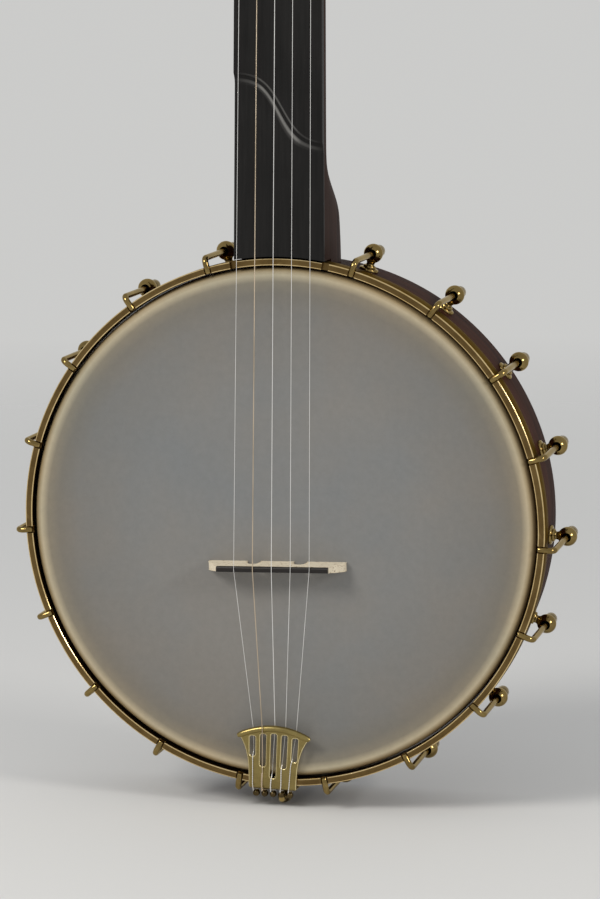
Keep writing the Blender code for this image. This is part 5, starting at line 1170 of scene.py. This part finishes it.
tab = TAIL_TURN @ Vector((TAB_X, TAB_Y, TAB_HOLE_Z))
rod_shape = bmesh.new()
pipe(rod_shape, rounded([(tab.x, tab.y - 9.7, tab.z), (tab.x, tab.y + 3.0, tab.z),
                         (tab.x * 0.8, tab.y + 6.0, tab.z + 1.6), (tab.x * 0.25, 29.4, -155.4),
                         (0.0, 34.5, -154.9)], 4.0, closed=False, steps=6), 1.8, 20,
     [1.0] * 16 + [0.9, 0.85, 0.8, 0.75, 0.7, 0.65, 0.45])
spin(rod_shape, rounded([(3.5, -155.9), (7.0, -155.9), (7.0, -153.9), (3.5, -153.9)], 0.4), 40,
     STICK_LINE, closed=True)
settle("hanger_rod_and_eye", rod_shape, [fitting_brass], stands_for=("tailpiece_bolt",))
ball_shape = bmesh.new()
spin(ball_shape, [(2.1, 0.95), (2.7, 0.95), (2.95, 1.15), (3.0, 1.6), (2.85, 1.85), (3.1, 2.1), (3.45, 2.7),
                  (3.6, 3.5), (3.6, 4.3), (3.45, 5.1), (3.1, 6.0), (2.7, 6.9), (2.4, 7.5), (2.1, 7.79)], 40,
     frame_at(tab, (0, -1, 0), (1, 0, 0)), closed=True)
# The ball nut takes the darker brass, whose dark brown is painted shade.
settle("hanger_ball_nut", ball_shape, [painted_shade_brass], stands_for=("tailpiece_nut",))

# BRIDGE
# Quarter-sawn maple on three feet with two arches, thick below and thin above, capped with a strip of
# black wood in which each string has its own notch. Only the strings hold it down.

BRIDGE_HALF, CAP_HALF, ARCH_MIDDLE, ARCH_RADIUS, ARCH_UP = 41.8, 34.0, 14.2, 4.3, 3.2


def bridge_finish():
    """Pale maple crossed by the short dark flecks of its rays."""
    made, tree, shader = new_finish("bridge maple")
    where = place(tree, "ShaderNodeTexCoord").outputs["Object"]
    long = noise(tree, stretched(tree, where, (0.08, 1.0, 1.0)), 900.0, 4.0, 0.6)
    fleck = noise(tree, stretched(tree, where, (0.35, 1.0, 1.0)), 1100.0, 1.5, 0.5)
    tone = ramp(tree, long, [(0.3, (0.68, 0.59, 0.44)), (0.7, (0.80, 0.72, 0.56))])
    dark = ramp(tree, fleck, [(0.62, 0.0), (0.68, 0.75)])
    tree.links.new(mix(tree, dark, tone, (0.20, 0.11, 0.05, 1.0)), shader.inputs["Base Color"])
    shader.inputs["Roughness"].default_value = 0.48
    bump(tree, shader, long, 0.02 * MM)
    return made


def bridge_outline():
    """Half of a middle foot, an arch, an outer foot and the sloping shoulder, then the same mirrored."""
    low = SEAT
    turns = [math.pi * k / 16 for k in range(17)]
    right = [(ARCH_MIDDLE - ARCH_RADIUS, low)]
    right += [(ARCH_MIDDLE - ARCH_RADIUS * math.cos(a), low + ARCH_UP + ARCH_RADIUS * math.sin(a))
              for a in turns]
    right += [(ARCH_MIDDLE + ARCH_RADIUS, low), (BRIDGE_HALF, low), (BRIDGE_HALF, 3.0), (41.65, 3.7),
              (41.2, 4.8), (40.4, 6.0), (38.4, 8.3), (36.6, 10.4), (35.6, 11.6), (34.5, 12.5),
              (CAP_HALF, 13.2)]
    return right + [(-x, h) for x, h in right[::-1]]


def bridge_wood():
    """A plate of the outline, its two sides drawn together from the feet to the cap."""
    made = bmesh.new()
    slab(made, bridge_outline(), -1.0, 1.0)
    for vert in made.verts:
        half = blend(2.5, 1.6, (vert.co.y - SEAT) / (BRIDGE_HIGH - SEAT))
        vert.co = (vert.co.x, -vert.co.y, math.copysign(half, vert.co.z))
    soften(made, 0.25, 2, 50)
    bmesh.ops.transform(made, matrix=SLANT, verts=made.verts)
    return made


settle("maple_bridge", bridge_wood(), [bridge_finish()], stands_for=("bridge",), smooth=35)
cap_low, cap_high = BRIDGE_HIGH - 2.4, BRIDGE_HIGH
cap_outline = [(-1.6, -cap_low, 0.0), (1.6, -cap_low, 0.0), (1.6, -cap_high + 0.75, 0.0),
               (1.4, -cap_high + 0.3, 0.4), (0.9, -cap_high, 1.0), (0.0, -cap_high, 1.0),
               (-0.9, -cap_high, 1.0), (-1.4, -cap_high + 0.3, 0.4), (-1.6, -cap_high + 0.75, 0.0)]
cap_shape = bmesh.new()
notched(cap_shape, cap_outline, -CAP_HALF, CAP_HALF, [p * BRIDGE_GAP for p in range(-2, 3)], 0.30, SLANT)
cap_wood = grained("cap ebony", (0.016, 0.012, 0.010), (0.008, 0.006, 0.005), (0.003, 0.002, 0.002), 0.34,
                   bands=160.0, pore_depth=0.4, turn=(0.0, math.pi / 2, 0.0))
settle("black_bridge_cap", cap_shape, [cap_wood], stands_for=("bridge_cap",), smooth=30)

# STRINGS
# Four plain steel wires, and the fourth string wound with bronze. Each ends in a twisted loop on its pin
# and is wound on its post. The fourth runs over the tailpiece's lip, the others through a slot and
# behind the lip.

WINDS, WIND_PITCH, WIND_STEPS, WIND_START = 3, 1.05, 24, 10.9
LIP_GAP, LOOP_SHARE, TWIST_PITCH = 6.62, 0.72, 3.0


def wire_finish(name, bright, dark, roughness, metallic, wound=False):
    """Drawn wire, a little tarnished; the wound one carries the ridges of its covering."""
    made, tree, shader = new_finish(name)
    where = place(tree, "ShaderNodeTexCoord").outputs["Object"]
    dull = noise(tree, stretched(tree, where, (1.0, 1.0, 0.1)), 300.0, 3.0)
    tree.links.new(ramp(tree, dull, [(0.35, dark), (0.6, bright)]), shader.inputs["Base Color"])
    shader.inputs["Metallic"].default_value = metallic
    shader.inputs["Roughness"].default_value = roughness
    if wound:
        ridge = place(tree, "ShaderNodeTexWave", [(0, where), (1, 1100.0)], bands_direction="Z").outputs[1]
        bump(tree, shader, ridge, 0.02 * MM)
    else:
        bump(tree, shader, dull, 0.01 * MM)
    return made


def winding(start, centre, axis, radius, sense):
    """Straight from the start to the post, then round it."""
    axis = Vector(axis).normalized()
    arm = start - centre
    arm -= axis * arm.dot(axis)
    away = arm.normalized()
    side = axis.cross(away)
    reach = math.acos(min(1.0, radius / arm.length))
    points = []
    for k in range(WINDS * WIND_STEPS + 1):
        a = sense * (reach + 2 * math.pi * k / WIND_STEPS)
        out = away * math.cos(a) + side * math.sin(a)
        points.append(centre + out * radius + axis * (WIND_PITCH * k / WIND_STEPS))
    return points


def head_end(string):
    """The string's way over the nut or round the pip's side to the windings on its post."""
    radius = POST_WAIST + SEAT + STRING_SIZES[string] / 2
    if string < 5:
        x, y = PEGS[string]
        down = HEAD.to_3x3() @ Vector((0, 0, -1))
        leave = nut_point(string) + Vector((0, 0, NUT_HALF))
        centre = HEAD @ Vector((x, y, WIND_START))
        return [nut_point(string)] + winding(leave, centre, down, radius, 1 if x < 0 else -1)
    centre = FIFTH @ Vector((0, 0, FIFTH_SHOULDER + 2 * WIND_PITCH))
    start, leave = on_string(5, PIP_Z), on_string(5, PIP_Z + 2.0)
    z = blend(leave.z, centre.z, 0.55)
    over = Vector((left_edge(z) + 0.1, board_y(z) - 0.6, z))
    beside = Vector((left_edge(z) - 0.7, board_y(z) + 0.1, z + 0.8))
    out = FIFTH.to_3x3() @ Vector((0, 0, 1))
    return [start, leave, over, beside] + winding(beside, centre, out, radius, -1)


def tail_end(string):
    """The string's way down to its pin: the plain part, the twisted part and the loop."""
    where, gauge = STRING_ORDER[string], STRING_SIZES[string] / 2
    off, lip_off = SHEET / 2 + SEAT + gauge, LIP / 2 + SEAT + gauge
    x_pin, x_foot = where * PIN_GAP + PIN_SHIFT, AT_FOOT[string]
    lip = lip_point(where * LIP_GAP)
    end = TAIL_FOOT + SLOT_ENDS[where + 2]
    if string == 4:
        middle_end = TAIL_FOOT + SLOT_ENDS[2]
        plain = [lip + Vector((0, -lip_off, 0))]
        twist = [Vector((x_foot, face_y(middle_end + 3.0) - off, middle_end + 3.0))]
    else:
        x_in = IN_SLOT[string]
        plain = [lip + Vector((0, lip_off, 0)), Vector((x_in, face_y(end) + off, end + SLOT_HALF * 2.2))]
        twist = [Vector((x_in, face_y(end) - off, end + SLOT_HALF * 0.2)),
                 Vector((blend(x_in, x_foot, 0.4), face_y(end) - off, end - SLOT_HALF * 1.4))]
    level = TAIL_FOOT - SHEET - 2 * SEAT - gauge
    twist += [Vector((x_foot, -2.05 - off, -158.7)),
              Vector((blend(x_foot, x_pin, 0.5), -1.65 - off, TAIL_FOOT - SHEET - 3 * SEAT))]
    ring = PIN_NECK + SEAT + gauge
    turns = [-math.pi * 0.79 + 2 * math.pi * LOOP_SHARE * k / 24 for k in range(25)]
    loop = [Vector((x_pin + ring * math.cos(a), PIN_Y + ring * math.sin(a), level)) for a in turns]
    return [[TAIL_TURN @ p for p in part] for part in (plain, twist, loop)]


def strand(line, gauge, phase):
    """One of two wires twisted round each other along the line."""
    steps = [line[0]]
    for start, end in zip(line, line[1:]):
        count = max(1, int((end - start).length / 0.16))
        steps += [start.lerp(end, k / count) for k in range(1, count + 1)]
    across, run, wire = Vector((1, 0, 0)), 0.0, []
    for k, point in enumerate(steps):
        way = (steps[min(k + 1, len(steps) - 1)] - steps[max(k - 1, 0)]).normalized()
        across = (across - way * across.dot(way)).normalized()
        run += (point - steps[k - 1]).length if k else 0.0
        a = phase + 2 * math.pi * run / TWIST_PITCH
        wire.append(point + (across * math.cos(a) + way.cross(across) * math.sin(a)) * gauge)
    return wire


bright_wire = wire_finish("steel wire", (0.95, 0.94, 0.92), (0.84, 0.83, 0.81), 0.34, 0.5)
bronze_wire = wire_finish("bronze winding", (0.62, 0.51, 0.38), (0.46, 0.37, 0.26), 0.34, 0.7, wound=True)
for string, size in STRING_SIZES.items():
    plain, twist, loop = tail_end(string)
    gauge = size / 2
    twist = rounded(twist, 1.0, closed=False, steps=4)
    path = head_end(string)[::-1] + [bridge_point(string)] + plain + strand(twist, gauge, 0.0) + loop
    string_shape = bmesh.new()
    pipe(string_shape, rounded(path, 0.5, closed=False, steps=2), gauge, 8)
    pipe(string_shape, strand(twist, gauge, math.pi), gauge, 8)
    settle("wire_%d" % string, string_shape, [bronze_wire if string == 4 else bright_wire],
           stands_for=("string_%d" % string,),
           smooth=60)

# STUDIO
# A pale floor that fades into a pale background, a broad lamp from the upper left, a weaker one from
# the right and an even glow from all round.

BACKGROUND = (0.60, 0.60, 0.59)


def seen_directly(tree):
    """One for rays from the camera, a mirror or a glass."""
    path = place(tree, "ShaderNodeLightPath").outputs
    most = sums(tree, "MAXIMUM", path["Is Camera Ray"], path["Is Glossy Ray"])
    return sums(tree, "MAXIMUM", most, path["Is Transmission Ray"])


def floor_and_background():
    bpy.ops.mesh.primitive_plane_add(size=30.0, location=(0, 0, -0.0006))
    ground = bpy.context.object
    ground.name = "floor"
    made, tree, shader = new_finish("pale floor")
    shader.inputs["Base Color"].default_value = (0.74, 0.74, 0.73, 1.0)
    shader.inputs["Roughness"].default_value = 0.7
    shader.inputs["Specular IOR Level"].default_value = 0.15
    where = place(tree, "ShaderNodeTexCoord").outputs["Object"]
    away = place(tree, "ShaderNodeVectorMath", [(0, where)], operation="LENGTH").outputs["Value"]
    far = ramp(tree, sums(tree, "DIVIDE", away, 5.0), [(0.07, 0.0), (0.46, 1.0)])
    clear = place(tree, "ShaderNodeBsdfTransparent").outputs[0]
    faded = place(tree, "ShaderNodeMixShader", [(0, far), (1, shader.outputs[0]), (2, clear)]).outputs[0]
    tree.links.new(faded, tree.nodes["Material Output"].inputs["Surface"])
    ground.data.materials.append(made)
    world = bpy.data.worlds.new("soft room")
    bpy.context.scene.world = world
    world.use_nodes = True
    tree = world.node_tree
    tree.nodes.clear()
    shown = place(tree, "ShaderNodeBackground", [(0, (*BACKGROUND, 1.0)), (1, 1.0)]).outputs[0]
    glow = place(tree, "ShaderNodeBackground", [(0, (0.95, 0.97, 1.0, 1.0)), (1, 0.47)]).outputs[0]
    both = place(tree, "ShaderNodeMixShader", [(0, seen_directly(tree)), (1, glow), (2, shown)]).outputs[0]
    place(tree, "ShaderNodeOutputWorld", [(0, both)])


def lamp(name, where, aim, size, power, colour):
    light = bpy.data.lights.new(name, "AREA")
    light.shape, light.size, light.energy, light.color = "SQUARE", size, power, colour
    holder = bpy.data.objects.new(name, light)
    bpy.context.scene.collection.objects.link(holder)
    holder.location = where
    holder.rotation_euler = (Vector(aim) - Vector(where)).to_track_quat("-Z", "Y").to_euler()


floor_and_background()
lamp("key lamp", (-1.3, -1.5, 1.6), POT, 0.8, 31.5, (1.0, 0.97, 0.92))
lamp("side lamp", (2.2, -0.9, 1.2), POT, 0.6, 22.0, (1.0, 0.96, 0.90))

# The camera stands to the treble side and a little above, and is fitted to the hooks and the hoop's edges.
CAMERA_PLACE = (0.4910, -1.9386, 0.3587)
CAMERA_ROUND, CAMERA_DOWN, CAMERA_ROLL = 13.88, 8.91, -0.26
lens = bpy.data.cameras.new("camera")
lens.lens, lens.sensor_width, lens.clip_end = 137.14, 36.0, 50.0
camera = bpy.data.objects.new("camera", lens)
bpy.context.scene.collection.objects.link(camera)
camera.location = POT + Vector(CAMERA_PLACE)
turned = Matrix.Rotation(math.radians(CAMERA_ROUND), 3, "Z")
turned = turned @ Matrix.Rotation(math.radians(90.0 - CAMERA_DOWN), 3, "X")
turned = turned @ Matrix.Rotation(math.radians(CAMERA_ROLL), 3, "Z")
camera.rotation_euler = turned.to_euler()
bpy.context.scene.camera = camera
bpy.context.scene.view_settings.view_transform = "Standard"
